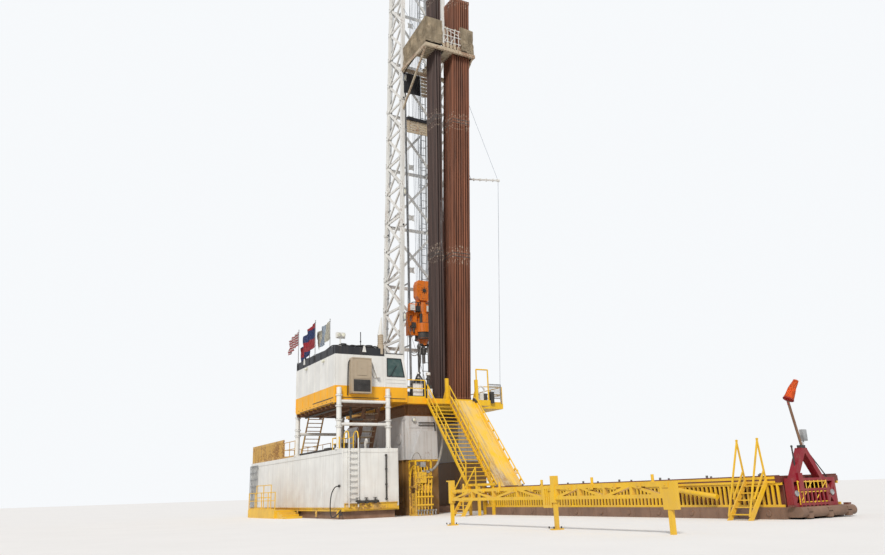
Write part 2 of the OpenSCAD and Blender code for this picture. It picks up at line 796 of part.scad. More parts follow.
// Canvas walls on three sides of the board, lower beside the mast and open in the middle of the front
module windwalls() {
    z0 = board_z + board_beam_h + seat;
    z1 = z0 + windwall_h;
    low_z = z0 + 0.6 * windwall_h;
    x0 = front_x(low_z) + leg_w / 2 + 2 * seat;
    x1 = board_front_x - windwall_t - 1;
    y = board_half_w - windwall_t / 2;
    gap_near_y = -260;
    gap_far_y = 430;
    color("tan") {
        for (s = [-1, 1]) on_xz(s * y, windwall_t)
            polygon([[x0, z0], [x1, z0], [x1, z1], [x0 + 900, z1], [x0 + 700, low_z], [x0, low_z]]);
        on_yz(board_front_x - windwall_t / 2, windwall_t) {
            translate([-board_half_w, z0]) square([board_half_w + gap_near_y, windwall_h]);
            translate([gap_far_y, z0]) square([board_half_w - gap_far_y, windwall_h]);
        }
    }
}

module board_braces() {
    brace_h = 1500;
    x0 = front_x(board_z - brace_h + 100) + leg_w / 2 + 2 * seat;
    color("tan") for (s = [-1, 1]) on_xz(s * (board_half_w - 60), 50)
        polygon([[x0, board_z - brace_h], [x0, board_z - brace_h + 100],
                 [board_front_x - 200, board_z - seat], [board_front_x - 100, board_z - seat]]);
}

module dog_floor() {
    color("orange")
        block([-dog_rear_x, -dog_near_y, dog_z], [dog_front_x, -dog_far_y, dog_floor_z - seat]);
}

module dog_wall_near() {
    color("whitesmoke")
        block([-dog_rear_x, -dog_near_y, dog_floor_z], [dog_front_x, -dog_near_y + dog_wall_t, dog_roof_z]);
}

module dog_wall_front() {
    inset = dog_wall_t + seat;
    color("whitesmoke")
        block([dog_front_x - dog_wall_t, -dog_near_y + inset, dog_floor_z],
              [dog_front_x, -dog_far_y - inset, dog_roof_z]);
}

module dog_wall_rear() {
    inset = dog_wall_t + seat;
    color("whitesmoke") difference() {
        block([-dog_rear_x, -dog_near_y + inset, dog_floor_z],
              [-dog_rear_x + dog_wall_t, -dog_far_y - inset, dog_roof_z]);
        block([-dog_rear_x - 1, dog_middle_y - dog_door_w / 2, dog_floor_z - 1],
              [-dog_rear_x + dog_wall_t + 1, dog_middle_y + dog_door_w / 2, dog_floor_z + dog_door_h]);
    }
}

// The wall beside the drill floor, with a door and a window behind it
module dog_wall_far() {
    window_l = 460;
    window_h = 400;
    window_z = dog_floor_z + 560;
    pillar = 160;
    y0 = -dog_far_y - dog_wall_t - 1;
    y1 = -dog_far_y + 1;
    color("whitesmoke") difference() {
        block([-dog_rear_x, y0 + 1, dog_floor_z], [dog_front_x, y1 - 1, dog_roof_z]);
        block([0, y0, dog_floor_z - 1], [dog_door_w, y1, dog_floor_z + dog_door_h]);
        block([-pillar - window_l, y0, window_z], [-pillar, y1, window_z + window_h]);
    }
}

module dog_roof() {
    z = dog_roof_z + seat;
    rim = 40;
    color("dimgray") difference() {
        block([-dog_rear_x, -dog_near_y, z], [dog_front_x, -dog_far_y, z + dog_roof_h]);
        block([-dog_rear_x + rim, -dog_near_y + rim, z + 60],
              [dog_front_x - rim, -dog_far_y - rim, z + dog_roof_h + 1]);
    }
}

module dog_doors() {
    gap = 1;
    top = dog_floor_z + dog_door_h - gap;
    color("whitesmoke") {
        block([-dog_rear_x + 5, dog_middle_y - dog_door_w / 2 + seat, dog_floor_z],
              [-dog_rear_x + 30, dog_middle_y + dog_door_w / 2 - gap, top]);
        block([seat, -dog_far_y - 30, dog_floor_z], [dog_door_w - gap, -dog_far_y - 5, top]);
    }
}

// The driller's cab: a tapered box whose far side leans in, with cut windows
cab_z = dog_z + 60;
cab_sill = cab_z + 0.52 * cab_h;
cab_lintel = cab_z + 0.9 * cab_h;

module cab_outer(t) {
    y0 = -dog_far_y + seat;
    run_x(dog_front_x - cab_l + t, dog_front_x - t)
        polygon([[y0 + t, cab_z + t], [cab_far_y - t, cab_z + t], [cab_far_y - t, cab_z + 0.5 * cab_h],
                 [cab_far_y - cab_lean - t, cab_z + cab_h - t], [y0 + t, cab_z + cab_h - t]]);
}

// The front window and the side window that looks on the well, made smaller by a gap
module cab_windows(front_x0, front_x1, side_y0, side_y1, gap) {
    y0 = -dog_far_y + 80 + gap;
    z0 = cab_sill + gap;
    z1 = cab_lintel - gap;
    run_x(front_x0, front_x1)
        polygon([[y0, z0], [cab_far_y - 80 - gap, z0], [cab_far_y - cab_lean - 70 - gap, z1], [y0, z1]]);
    block([dog_front_x - cab_l + 120 + gap, side_y0, z0], [dog_front_x - 120 - gap, side_y1, z1]);
}

module cab_shell() {
    color("whitesmoke") difference() {
        cab_outer(0);
        cab_outer(cab_t);
        cab_windows(dog_front_x - cab_t - 1, dog_front_x + 1, cab_far_y - 320, cab_far_y + 10, 0);
    }
}

module cab_glass() {
    color("darkslategray") intersection() {
        difference() {
            cab_outer(8);
            cab_outer(20);
        }
        cab_windows(dog_front_x - 60, dog_front_x, cab_far_y - 300, cab_far_y, seat);
    }
}

module hvac_unit() {
    y0 = -dog_far_y - 1100;
    color("tan")
        block([dog_front_x + seat, y0, dog_z + 250], [dog_front_x + 240, y0 + 575, dog_z + 1250]);
}

// A portal of two posts and two cross tubes that stands on the tank roof
module portal(x) {
    z0 = tank_top + tank_t + 2 * seat;
    for (y = [-post_near_y, -post_far_y]) {
        translate([x, y, z0]) cylinder(d = post_d, h = dog_z + 400 - z0, $fn = 32);
        translate([x, y, z0]) cylinder(d = post_d + 80, h = 20, $fn = 32);
    }
    for (z = [dog_z - 600, dog_z + 30])
        translate([x, -post_near_y, z]) rotate([-90, 0, 0])
            cylinder(d = 90, h = post_near_y - post_far_y, $fn = 24);
}

module posts_front() color("whitesmoke") portal(post_x);

module posts_rear() color("whitesmoke") portal(-post_rear_x);

module tank_stair() {
    z0 = tank_top + tank_t + 2 * seat;
    rise = dog_floor_z - z0;
    run = rise * 0.62;
    w = 520;
    color("goldenrod")
        translate([-post_rear_x - post_d / 2 - 20 - run, dog_middle_y - w / 2, z0]) flight(run, rise, w, 12);
}

module tank_walls_long() {
    color("whitesmoke") for (y = [-tank_near_y, -tank_far_y - tank_t])
        block([-tank_rear_x, y, tank_z + seat], [tank_front_x, y + tank_t, tank_top]);
}

module tank_walls_end() {
    inset = tank_t + seat;
    color("whitesmoke") for (x = [-tank_rear_x, tank_front_x - tank_t])
        block([x, -tank_near_y + inset, tank_z + seat], [x + tank_t, -tank_far_y - inset, tank_top]);
}

module tank_roof() {
    color("whitesmoke") block([-tank_rear_x, -tank_near_y, tank_top + seat],
                              [tank_front_x, -tank_far_y, tank_top + tank_t + seat]);
}

module tank_skid() {
    runner = 200;
    crossings = 4;
    x0 = -tank_rear_x + 100;
    x1 = tank_front_x - 100;
    step = (x1 - x0 - runner) / (crossings - 1);
    color("saddlebrown") {
        block([-tank_rear_x, -tank_near_y, runner], [tank_front_x, -tank_far_y, tank_z]);
        for (y = [-tank_near_y + 80, -tank_far_y - 80 - runner])
            block([x0, y, 0], [x1, y + runner, runner + slim]);
        for (i = [0 : crossings - 1])
            block([x0 + i * step, -tank_near_y + 81, 0],
                  [x0 + i * step + runner, -tank_far_y - 81, runner + slim]);
    }
}

module tank_ladder() {
    w = 290;
    rail = 24;
    x = tank_front_x + 60;
    color("whitesmoke") translate([0, -tank_near_y + 160, 0]) {
        on_yz(x, 30) {
            for (y = [0, w - rail]) translate([y, tank_z]) square([rail, tank_h + 300]);
            for (z = [tank_z + 100 : 150 : tank_top + 40]) translate([1, z]) square([w - 2, 18]);
        }
        for (y = [0, w - rail]) for (z = [tank_z + 200, tank_top - 200])
            block([tank_front_x + seat, y, z], [x - 14, y + rail, z + 30]);
    }
}

// A guard screen of upright slats between two rails, on the roof of the tank
module tank_screen() {
    z = tank_top + tank_t + 2 * seat;
    rail = 80;
    color("goldenrod") on_xz(-tank_near_y + 40, 30) translate([-tank_rear_x + 50, z]) {
        for (dz = [0, screen_h - rail]) translate([0, dz]) square([screen_l, rail]);
        for (x = [0 : 100 : screen_l - 60])
            translate([x, rail - slim]) square([60, screen_h - 2 * rail + 2 * slim]);
    }
}

// A low platform with steps along the near side of the tank
module rear_porch() {
    x0 = -porch_rear_x;
    x1 = x0 + porch_l;
    y0 = all_near_y;
    y1 = -tank_near_y;
    tread = 300;
    color("goldenrod") {
        block([x0, y0, 0], [x1, y1, porch_h]);
        for (i = [1 : 3])
            block([x1 - 1, y0 + 60, 0], [x1 + i * tread, y1 - 60, porch_h * (4 - i) / 4]);
        on_xz(y0 + rail_d, rail_d) translate([x0, porch_h - slim]) rail2d(porch_l, rail_h);
    }
}

ramp_top_z = floor_z - 40;
ramp_foot_z = cat_z + seat;
ramp_slope = (ramp_top_z - ramp_foot_z) / (ramp_foot_x - floor_front_x);

module ramp() {
    x0 = floor_front_x + seat;
    x1 = ramp_foot_x;
    t = 60;
    y = ramp_w / 2;
    top = ramp_top_z;
    foot = ramp_foot_z;
    color("gold") {
        on_xz(0, ramp_w - 60)
            polygon([[x0, top - t], [x0, top], [x1, foot], [x1 - t, foot]]);
        for (s = [-1, 1]) on_xz(s * (y - 30), 60)
            polygon([[x0, top - ramp_side_h - t], [x0, top + ramp_side_h], [x1, foot + 20],
                     [x1, foot], [x1 - t - ramp_side_h, foot]]);
    }
}

module ramp_stair() {
    x0 = floor_front_x + seat;
    rise = floor_z - 20 - landing_z;
    run = rise / ramp_slope;
    x1 = x0 + run;
    inner_y = -cat_w / 2 - seat;
    leg = 60;
    color("gold") {
        translate([x1, ramp_stair_y + stair_w, landing_z]) rotate([0, 0, 180])
            flight(run, rise, stair_w, 22);
        // Hand rails that follow the flight
        for (y = [ramp_stair_y + 13, ramp_stair_y + stair_w - 13]) on_xz(y, rail_d) {
            for (k = [0 : 4]) {
                x = x0 + 60 + (run - 160) * k / 4;
                z = landing_z + rise - (x - x0) * ramp_slope;
                translate([x, z - 60]) square([rail_d, rail_h]);
            }
            for (dz = [rail_h / 2, rail_h])
                bar2d([x0 + 60, landing_z + rise - 60 * ramp_slope + dz - 70],
                      [x1 - 60, landing_z + 60 * ramp_slope + dz - 70], rail_d);
        }
        // Landing beside the catwalk on its legs, with its inner end on the deck
        block([x1 - 1, ramp_stair_y, landing_z - leg], [x1 + 150, ramp_stair_y + stair_w, landing_z]);
        block([x1 + 40, ramp_stair_y + stair_w - 100, cat_z + seat],
              [x1 + 100, ramp_stair_y + stair_w - 40, landing_z - leg + 1]);
        block([x1 - 1, ramp_stair_y - 20, landing_z - leg], [x1 + 540, inner_y, landing_z]);
        for (x = [x1 + 20, x1 + 460]) for (y = [ramp_stair_y, inner_y - leg])
            block([x, y, 0], [x + leg, y + leg, landing_z - leg + 1]);
    }
}

module lower_stair() {
    x0 = floor_front_x + (floor_z - 20 - landing_z) / ramp_slope + 20;
    rise = landing_z - 40;
    run = 0.7 * rise;
    w = 520;
    color("gold") translate([x0, ramp_stair_y - 20 - seat, 0]) rotate([0, 0, -90])
        translate([run, 0, 0]) mirror([1, 0, 0]) {
            flight(run, rise, w, 8);
            for (y = [13, w - 13]) on_xz(y, rail_d) {
                translate([60, 40]) square([rail_d, rail_h]);
                translate([run - 60, rise - 80]) square([rail_d, rail_h]);
                bar2d([60, rail_h + 30], [run - 40, rise + rail_h - 90], rail_d);
            }
        }
}

module catwalk_skid() {
    y = cat_w / 2;
    beam = 180;
    cross_w = 160;
    crossings = 6;
    step = (cat_end_x - cat_start_x - beam - cross_w) / (crossings - 1);
    color("saddlebrown") {
        for (s = [-1, 1])
            block([cat_start_x, s * (y - beam / 2) - beam / 2, 0],
                  [cat_end_x, s * (y - beam / 2) + beam / 2, cat_skid_h]);
        for (i = [0 : crossings - 1])
            block([cat_start_x + i * step, -y + beam - slim, 20],
                  [cat_start_x + i * step + cross_w, y - beam + slim, cat_skid_h - 20]);
        // Round nosed bumper at the end
        block([cat_end_x - beam, -y + 60, 30], [cat_end_x + bumper_l, y - 60, cat_skid_h]);
        translate([cat_end_x + bumper_l, -y + 60, cat_skid_h - bumper_d / 2]) rotate([-90, 0, 0])
            cylinder(d = bumper_d, h = cat_w - 120, $fn = 32);
    }
}

module catwalk_deck() {
    y = cat_w / 2;
    color("firebrick") difference() {
        block([cat_start_x, -y, cat_z - 90], [cat_end_x, y, cat_z]);
        block([cat_start_x - 1, -110, cat_z - 50], [cat_end_x + 1, 110, cat_z + 1]);
    }
}

module catwalk_bars() {
    z0 = cat_skid_h + seat;
    z1 = cat_z - 90 - seat;
    y = cat_w / 2;
    bar = 36;
    chord = 40;
    arm_x = cat_end_x - 2400;
    arm_l = 1150;
    arm_d = 90;
    arm_tilt = 8;
    color("gold") {
        for (s = [-1, 1]) on_xz(s * (y - 30), 30) {
            for (z = [z0, z1 - chord]) translate([cat_start_x, z]) square([cat_end_x - cat_start_x, chord]);
            for (x = [cat_start_x : bar_pitch : cat_end_x - bar])
                translate([x, z0 + chord - slim]) square([bar, z1 - z0 - 2 * (chord - slim)]);
        }
        // Lifting arm that lies along the near side, on its two brackets
        translate([arm_x, -y - arm_d, z1 - 50]) rotate([0, 90 + arm_tilt, 0])
            cylinder(d = arm_d, h = arm_l, $fn = 24);
        for (x = [200, 900]) {
            z = z1 - 10 - x * tan(arm_tilt);
            block([arm_x + x, -y - arm_d, z - 70], [arm_x + x + 70, -y + 16, z]);
        }
    }
}

// End frame of the catwalk: two braced columns, an A-frame on them and a guard in front
end_x = cat_end_x + 90;
apex_y = -230;
apex_z = cat_skid_h + seat + 930;

module catwalk_end() {
    y = cat_w / 2;
    z = cat_skid_h + seat;
    frame_t = 130;
    col_w = 270;
    col_h = 450;
    near_col_y = -y + 60;
    far_col_y = 160;
    bar = 60;
    slat = 34;
    slat_pitch = 98;
    slats = 8;
    guard_t = 24;
    guard_y = -y + 200;
    guard_w = slat_pitch * (slats - 1) + slat;
    color("firebrick") on_yz(end_x, frame_t) {
        for (y0 = [near_col_y, far_col_y]) {
            for (dy = [0, col_w - bar]) translate([y0 + dy, z]) square([bar, col_h]);
            for (dz = [0, col_h - bar]) translate([y0, z + dz]) square([col_w, bar]);
            bar2d([y0 + 20, z + 20], [y0 + col_w - 20, z + col_h - 20], 50);
        }
        translate([near_col_y + slim, z + col_h - bar])
            square([far_col_y + col_w - near_col_y - 2 * slim, bar]);
        bar2d([near_col_y + col_w / 2, z + col_h - 30], [apex_y - 20, apex_z - 20], 100);
        bar2d([apex_y + 20, apex_z - 20], [far_col_y + col_w - 50, z + 60], 90);
        translate([apex_y - 75, apex_z - 60]) square([150, 60]);
    }
    color("gold") on_yz(end_x + (frame_t + guard_t) / 2, guard_t) {
        for (k = [0 : slats - 1]) translate([guard_y + slat_pitch * k, z]) square([slat, 280]);
        for (dz = [20, 250]) translate([guard_y, z + dz]) square([guard_w, slat]);
        translate([guard_y + 30, z + 279]) square([110, 250]);
    }
}

module windsock_pole() {
    d = 44;
    lean = 13;
    color("saddlebrown") translate([end_x, apex_y + 40, apex_z + seat + d / 2 * sin(lean)])
        rotate([lean, 0, 0]) cylinder(d = d, h = 800, $fn = 24);
}

module catwalk_stair() {
    rise = cat_z;
    run = 560;
    w = 450;
    color("gold") translate([cat_end_x - 700, -cat_w / 2 - seat - run, 0]) rotate([0, 0, 90]) {
        translate([0, -w, 0]) {
            flight(run, rise, w, 6);
            for (y = [13, w - 13]) on_xz(y, rail_d) {
                bar2d([40, 60], [run - 80, rise + 640], rail_d);
                bar2d([run - 12, rise - 60], [run - 100, rise + 640], rail_d);
                bar2d([200, 330], [run - 30, rise + 120], rail_d);
            }
        }
    }
}

// A truss with its top at z1: two chords, five uprights and four diagonals
module truss2d(x0, x1, z1, h) {
    n = 4;
    chord = 50;
    upright = 40;
    step = (x1 - x0 - upright) / n;
    low_z = z1 - h + chord / 2;
    high_z = z1 - chord / 2;
    for (z = [z1 - chord, z1 - h]) translate([x0, z]) square([x1 - x0, chord]);
    for (i = [0 : n]) translate([x0 + i * step, z1 - h]) square([upright, h]);
    for (i = [0 : n - 1]) {
        rises = i % 2 == 0;
        bar2d([x0 + upright / 2 + i * step, rises ? low_z : high_z],
              [x0 + upright / 2 + (i + 1) * step, rises ? high_z : low_z], 36);
    }
}

module rack_trusses() {
    panel = 220;
    color("gold") on_xz(-rack_y, 70) {
        truss2d(rack_x0 + rack_post_w, rack_x1 - panel, rack_z, rack_h);
        translate([rack_x1 - panel - 1, rack_z - 1.6 * rack_h]) difference() {
            square([panel + 1, 1.6 * rack_h]);
            for (i = [0 : 2]) translate([50 + 50 * i, 40]) square([24, 1.6 * rack_h - 80]);
        }
        truss2d(rack_x1 + rack_post_w, rack_x2 - panel, rack_z, rack_h);
        translate([rack_x2 - panel - 1, rack_z - 1.7 * rack_h]) square([panel + 1, 1.7 * rack_h]);
    }
}

// Square posts on thin legs with a foot plate each
module rack_posts() {
    w = rack_post_w;
    leg = 0.6 * w;
    split = 0.5 * rack_post_h;
    color("goldenrod") {
        for (x = [rack_x0, rack_x1]) {
            block([x, -rack_y - w / 2, split], [x + w, -rack_y + w / 2, rack_post_h]);
            block([x + w / 2 - leg / 2, -rack_y - leg / 2, 0],
                  [x + w / 2 + leg / 2, -rack_y + leg / 2, split + 1]);
            block([x - 10, -rack_y - w, 0], [x + w + 10, -rack_y + w, 20]);
        }
        block([rack_x0 - 80, -rack_y - w / 2, rack_post_h - slim],
              [rack_x0 + w, -rack_y + w / 2, rack_post_h + 20]);
        // Leg under the end panel
        block([rack_x2 - 160, -rack_y - leg / 2, 0],
              [rack_x2 - 100, -rack_y + leg / 2, rack_z - 1.7 * rack_h]);
    }
}

// The frame's origin is on the ground under the middle of the whole rig
module placed() {
    translate([-(all_min_x + all_max_x) / 2, -(all_near_y + all_far_y) / 2, 0]) children();
}

placed() skid_beams();
placed() side_box_near();
placed() side_box_far();
placed() floor_girders();
placed() hydraulic_unit();
placed() floor_near();
placed() floor_far();
placed() floor_front();
placed() floor_rear();
placed() rotary_table();
placed() drawworks();
placed() floor_rails();
placed() mast_side_near();
placed() mast_side_far();
placed() mast_rear();
placed() crown_frame();
placed() crown_sheaves();
placed() guide_rails();
placed() mast_ladder();
placed() top_drive();
placed() travelling_block();
placed() elevator_links();
placed() drill_lines();
placed() racking_board();
placed() windwalls();
placed() board_braces();
placed() pipe_stands_near();
placed() pipe_stands_far();
placed() dog_floor();
placed() dog_wall_near();
placed() dog_wall_front();
placed() dog_wall_rear();
placed() dog_wall_far();
placed() dog_roof();
placed() dog_doors();
placed() cab_shell();
placed() cab_glass();
placed() hvac_unit();
placed() posts_front();
placed() posts_rear();
placed() tank_stair();
placed() tank_walls_long();
placed() tank_walls_end();
placed() tank_roof();
placed() tank_skid();
placed() tank_ladder();
placed() tank_screen();
placed() rear_porch();
placed() ramp();
placed() ramp_stair();
placed() lower_stair();
placed() catwalk_skid();
placed() catwalk_deck();
placed() catwalk_bars();
placed() catwalk_end();
placed() windsock_pole();
placed() catwalk_stair();
placed() rack_trusses();
placed() rack_posts();
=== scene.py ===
import json
import math
import random

import bmesh
import bpy
from bpy.props import FloatProperty, FloatVectorProperty, IntProperty, PointerProperty
from mathutils import Matrix, Vector


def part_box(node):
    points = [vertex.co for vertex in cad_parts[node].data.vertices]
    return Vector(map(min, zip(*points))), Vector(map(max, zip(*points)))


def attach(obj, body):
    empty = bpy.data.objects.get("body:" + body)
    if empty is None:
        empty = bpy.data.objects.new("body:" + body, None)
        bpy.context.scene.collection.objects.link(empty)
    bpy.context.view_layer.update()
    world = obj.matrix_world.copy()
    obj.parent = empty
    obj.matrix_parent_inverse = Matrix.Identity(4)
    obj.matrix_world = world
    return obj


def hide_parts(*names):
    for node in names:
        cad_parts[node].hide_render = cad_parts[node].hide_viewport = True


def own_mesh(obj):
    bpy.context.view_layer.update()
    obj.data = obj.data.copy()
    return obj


bl_info = {
    "name": "Land drilling rig",
    "version": (1, 0, 0),
    "blender": (4, 5, 0),
    "location": "View3D > Sidebar > Rig",
    "description": "Builds the finishes and fittings of a half-size land drilling rig round its packed frame",
    "category": "Object",
}

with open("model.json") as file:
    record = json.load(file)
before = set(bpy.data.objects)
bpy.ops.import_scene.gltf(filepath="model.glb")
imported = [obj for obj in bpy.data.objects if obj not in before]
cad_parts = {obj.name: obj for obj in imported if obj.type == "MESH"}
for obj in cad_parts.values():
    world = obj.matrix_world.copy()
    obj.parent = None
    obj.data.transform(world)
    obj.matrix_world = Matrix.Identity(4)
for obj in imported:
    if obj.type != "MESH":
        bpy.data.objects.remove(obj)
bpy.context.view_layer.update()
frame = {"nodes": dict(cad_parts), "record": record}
RIG = "rig"
HOIST = "hoist"
LIFT = "hoist_rise"


# Places, in metres from the well at ground level

def _well():
    a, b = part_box("rotary_table")
    middle = (a + b) / 2
    return Vector((middle.x, middle.y, 0.0))


WELL = _well()


def low(node):
    """The lowest corner of a frame node."""
    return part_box(node)[0] - WELL


def high(node):
    """The highest corner of a frame node."""
    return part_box(node)[1] - WELL


def spread(start, stop, count):
    """Evenly spaced values from start to stop."""
    return [start + (stop - start) * i / (count - 1) for i in range(count)]


def on_line(a, b, share):
    """The point at that share of the way from a to b."""
    return Vector(a).lerp(Vector(b), share)


def smooth(points, steps=6):
    """A smooth path through the points."""
    points = [Vector(p) for p in points]
    ends = [2 * points[0] - points[1]] + points + [2 * points[-1] - points[-2]]
    path = []
    for a, b, c, d in zip(ends, ends[1:], ends[2:], ends[3:]):
        for k in range(steps):
            t = k / steps
            curve = 2 * b + (c - a) * t + (2 * a - 5 * b + 4 * c - d) * t ** 2 + (3 * b - a - 3 * c + d) * t ** 3
            path.append(curve / 2)
    return path + [points[-1]]


def length_of(path):
    return sum((b - a).length for a, b in zip(path, path[1:]))


FLOOR_TOP = high("floor_front").z
BAND_TOP = FLOOR_TOP + 0.28
HOUSE_LOW = low("dog_floor")
HOUSE_HIGH = high("dog_roof")
WALL_TOP = high("dog_wall_near").z
TANK_LOW = low("tank_skid")
TANK_HIGH = high("tank_roof")
SHELL_LOW = low("tank_walls_long").z
MAST_TOP = high("mast_side_near").z
BOARD_LOW = low("racking_board")
BOARD_HIGH = high("racking_board")
FOOT = Vector((0.5, 1.1))
HEAD = Vector((0.76, 0.74))
REAR_FOOT = -0.88
REAR_HEAD = -0.12


def leg(side, front, z):
    """The middle of a mast leg at that height: side is -1 for the doghouse side and 1 for the other."""
    share = (z - FLOOR_TOP) / (MAST_TOP - FLOOR_TOP)
    x = FOOT.x + (HEAD.x - FOOT.x) * share if front else REAR_FOOT + (REAR_HEAD - REAR_FOOT) * share
    return Vector((x, side * (FOOT.y + (HEAD.y - FOOT.y) * share), z))


# What a user would change

def paint(name, description, default):
    return FloatVectorProperty(
        name=name, description=description, default=default, subtype="COLOR", size=3, min=0.0, max=1.0)


def measure(name, description, default):
    return FloatProperty(name=name, description=description, default=default, unit="LENGTH", min=0.001)


class RigColours(bpy.types.PropertyGroup):
    """The paints, cloths and metals of the rig"""

    white: paint("White enamel", "Mast, houses and tank", (0.75, 0.745, 0.71))
    yellow: paint("Yellow enamel", "Floor edge, ramp, stairs, catwalk and pipe rack", (0.83, 0.50, 0.012))
    amber: paint("Amber band", "Band round the foot of the doghouse and cab", (0.87, 0.42, 0.006))
    orange: paint("Orange enamel", "Top drive", (0.70, 0.17, 0.008))
    red: paint("Red enamel", "End frame of the catwalk", (0.25, 0.006, 0.018))
    brown: paint("Brown enamel", "Girders and skids", (0.17, 0.085, 0.045))
    ochre: paint("Ochre band", "Lower part of the side boxes", (0.25, 0.125, 0.02))
    black: paint("Black enamel", "Roof rim and small fittings", (0.022, 0.023, 0.027))
    tan: paint("Tan enamel", "Air conditioner and racking board", (0.43, 0.35, 0.25))
    canvas: paint("Canvas", "Windwalls of the racking board", (0.56, 0.46, 0.32))
    dark_pipe: paint("Dark pipe", "Near bundle of racked pipe", (0.060, 0.036, 0.030))
    rust_pipe: paint("Rusty pipe", "Far bundle of racked pipe", (0.175, 0.064, 0.032))
    steel: paint("Greasy steel", "Rotary table, links and sheaves", (0.30, 0.29, 0.28))
    rope: paint("Wire rope", "Drilling lines and stays", (0.40, 0.45, 0.52))
    glass: paint("Tinted glass", "Cab and doghouse windows", (0.035, 0.075, 0.07))
    rubber: paint("Rubber", "Hoses and cables", (0.03, 0.03, 0.032))
    sock: paint("Windsock", "Cloth of the windsock", (0.95, 0.16, 0.03))
    flag_red: paint("Flag red", "Dark cloth of the flags", (0.42, 0.025, 0.04))
    flag_blue: paint("Flag blue", "Blue cloth of the flags", (0.02, 0.045, 0.17))
    floor: paint("Studio floor", "Plain floor under the rig", (0.80, 0.785, 0.76))


class RigSizes(bpy.types.PropertyGroup):
    """The sizes of the fittings, at the model's half scale"""

    strip: measure("Cover strip", "How far a cover strip stands off a wall", 0.008)
    seam_count: IntProperty(
        name="Wall seams", description="Plate seams along one side of the doghouse", default=7, min=2)
    rail: measure("Rail tube", "Diameter of a guard rail tube", 0.024)
    rail_height: measure("Rail height", "Height of a guard rail", 0.54)
    hose: measure("Water hose", "Diameter of the hose on the tank", 0.028)
    small_hose: measure("Small unit hose", "Diameter of the thin hose on the hydraulic unit", 0.022)
    large_hose: measure("Large unit hose", "Diameter of the thick hose from the hydraulic unit to the floor",
        0.07)
    service_hose: measure("Service hose", "Diameter of the hoses under the top drive", 0.028)
    stay: measure("Stay wire", "Diameter of the boom's stays", 0.012)
    sock_length: measure("Windsock length", "Length of the windsock", 0.42)
    sock_mouth: measure("Windsock mouth", "Diameter of the windsock's mouth", 0.17)
    gusset: measure("Gusset", "Side of a gusset plate on the mast's lacing", 0.20)
    plate: measure("Plate", "Thickness of a gusset plate", 0.012)
    joist_pitch: measure("Joist pitch", "Distance between the joists under the doghouse", 0.38)
    post_pitch: measure("Post pitch", "Distance between the posts of a guard rail", 0.7)


# Shader values

class Value:
    """A socket of a shader graph, on which Python's arithmetic adds Math nodes."""

    def __init__(self, graph, socket):
        self.graph = graph
        self.socket = socket

    def _math(self, operation, first, second=0.0, clamp=False):
        settings = {"operation": operation, "use_clamp": clamp}
        return self.graph.add("ShaderNodeMath", settings, {0: first, 1: second})

    def __add__(self, other):
        return self._math("ADD", self, other)

    __radd__ = __add__

    def __sub__(self, other):
        return self._math("SUBTRACT", self, other)

    def __rsub__(self, other):
        return self._math("SUBTRACT", other, self)

    def __mul__(self, other):
        return self._math("MULTIPLY", self, other)

    __rmul__ = __mul__

    def __gt__(self, other):
        return self._math("GREATER_THAN", self, other)

    def __lt__(self, other):
        return self._math("LESS_THAN", self, other)

    def fraction(self):
        return self._math("FRACT", self)

    def clamped(self):
        return self._math("ADD", self, 0.0, clamp=True)

    def step(self, start, stop):
        """0 below start, 1 above stop and even between them."""
        values = {"Value": self, "From Min": start, "From Max": stop}
        return self.graph.add("ShaderNodeMapRange", {"clamp": True}, values)


class Graph:
    """The node tree of one material."""

    def __init__(self, name):
        self.material = bpy.data.materials.new(name)
        self.material.use_nodes = True
        self.tree = self.material.node_tree
        self.tree.nodes.clear()
        self.place = None

    def add(self, kind, settings=None, values=None, output=0):
        """A node of that type, with its settings, socket values or links, and the output asked for."""
        node = self.tree.nodes.new(kind)
        for key, setting in (settings or {}).items():
            setattr(node, key, setting)
        for key, value in (values or {}).items():
            socket = node.inputs[key]
            if isinstance(value, Value):
                self.tree.links.new(value.socket, socket)
            else:
                socket.default_value = value
        return Value(self, node.outputs[output])

    def where(self):
        """The point of the surface in the frame, in metres."""
        if self.place is None:
            self.place = self.add("ShaderNodeTexCoord", output=3)
        return self.place

    def axis(self, letter):
        """The place along one axis of the frame."""
        return self.add("ShaderNodeSeparateXYZ", values={0: self.where()}, output="XYZ".index(letter))

    def facing(self, letter):
        """How far the surface faces along one axis."""
        normal = self.add("ShaderNodeNewGeometry", output=1)
        return self.add("ShaderNodeSeparateXYZ", values={0: normal}, output="XYZ".index(letter))

    def stretched(self, x, y, z):
        """The place, scaled along each axis."""
        values = {0: self.where(), 1: (x, y, z)}
        return self.add("ShaderNodeVectorMath", {"operation": "MULTIPLY"}, values)

    def lines(self, letter, pitch, width):
        """1 on narrow lines across an axis, at each pitch, and 0 between them."""
        return (self.axis(letter) * (1.0 / pitch)).fraction() < width / pitch

    def noise(self, scale, detail=3.0, rough=0.55, at=None):
        values = {"Vector": at or self.where(), "Scale": scale, "Detail": detail, "Roughness": rough}
        return self.add("ShaderNodeTexNoise", values=values)

    def blend(self, factor, first, second):
        """Two colours mixed by a factor."""
        settings = {"data_type": "RGBA", "blend_type": "MIX", "clamp_factor": True}
        return self.add("ShaderNodeMix", settings, {0: factor, 6: first, 7: second}, output=2)

    def bump(self, height, strength, distance):
        return self.add("ShaderNodeBump", values={"Strength": strength, "Distance": distance,
            "Height": height})

    def surface(self, **values):
        """The Principled shader with these sockets, put on the material's output."""
        named = {key.replace("_", " "): value for key, value in values.items()}
        shader = self.add("ShaderNodeBsdfPrincipled", values=named)
        output = self.tree.nodes.new("ShaderNodeOutputMaterial")
        self.tree.links.new(shader.socket, output.inputs["Surface"])
        return self.material


def rgb(colour, shade=1.0):
    """A colour with its alpha, darker by the shade."""
    return (colour[0] * shade, colour[1] * shade, colour[2] * shade, 1.0)


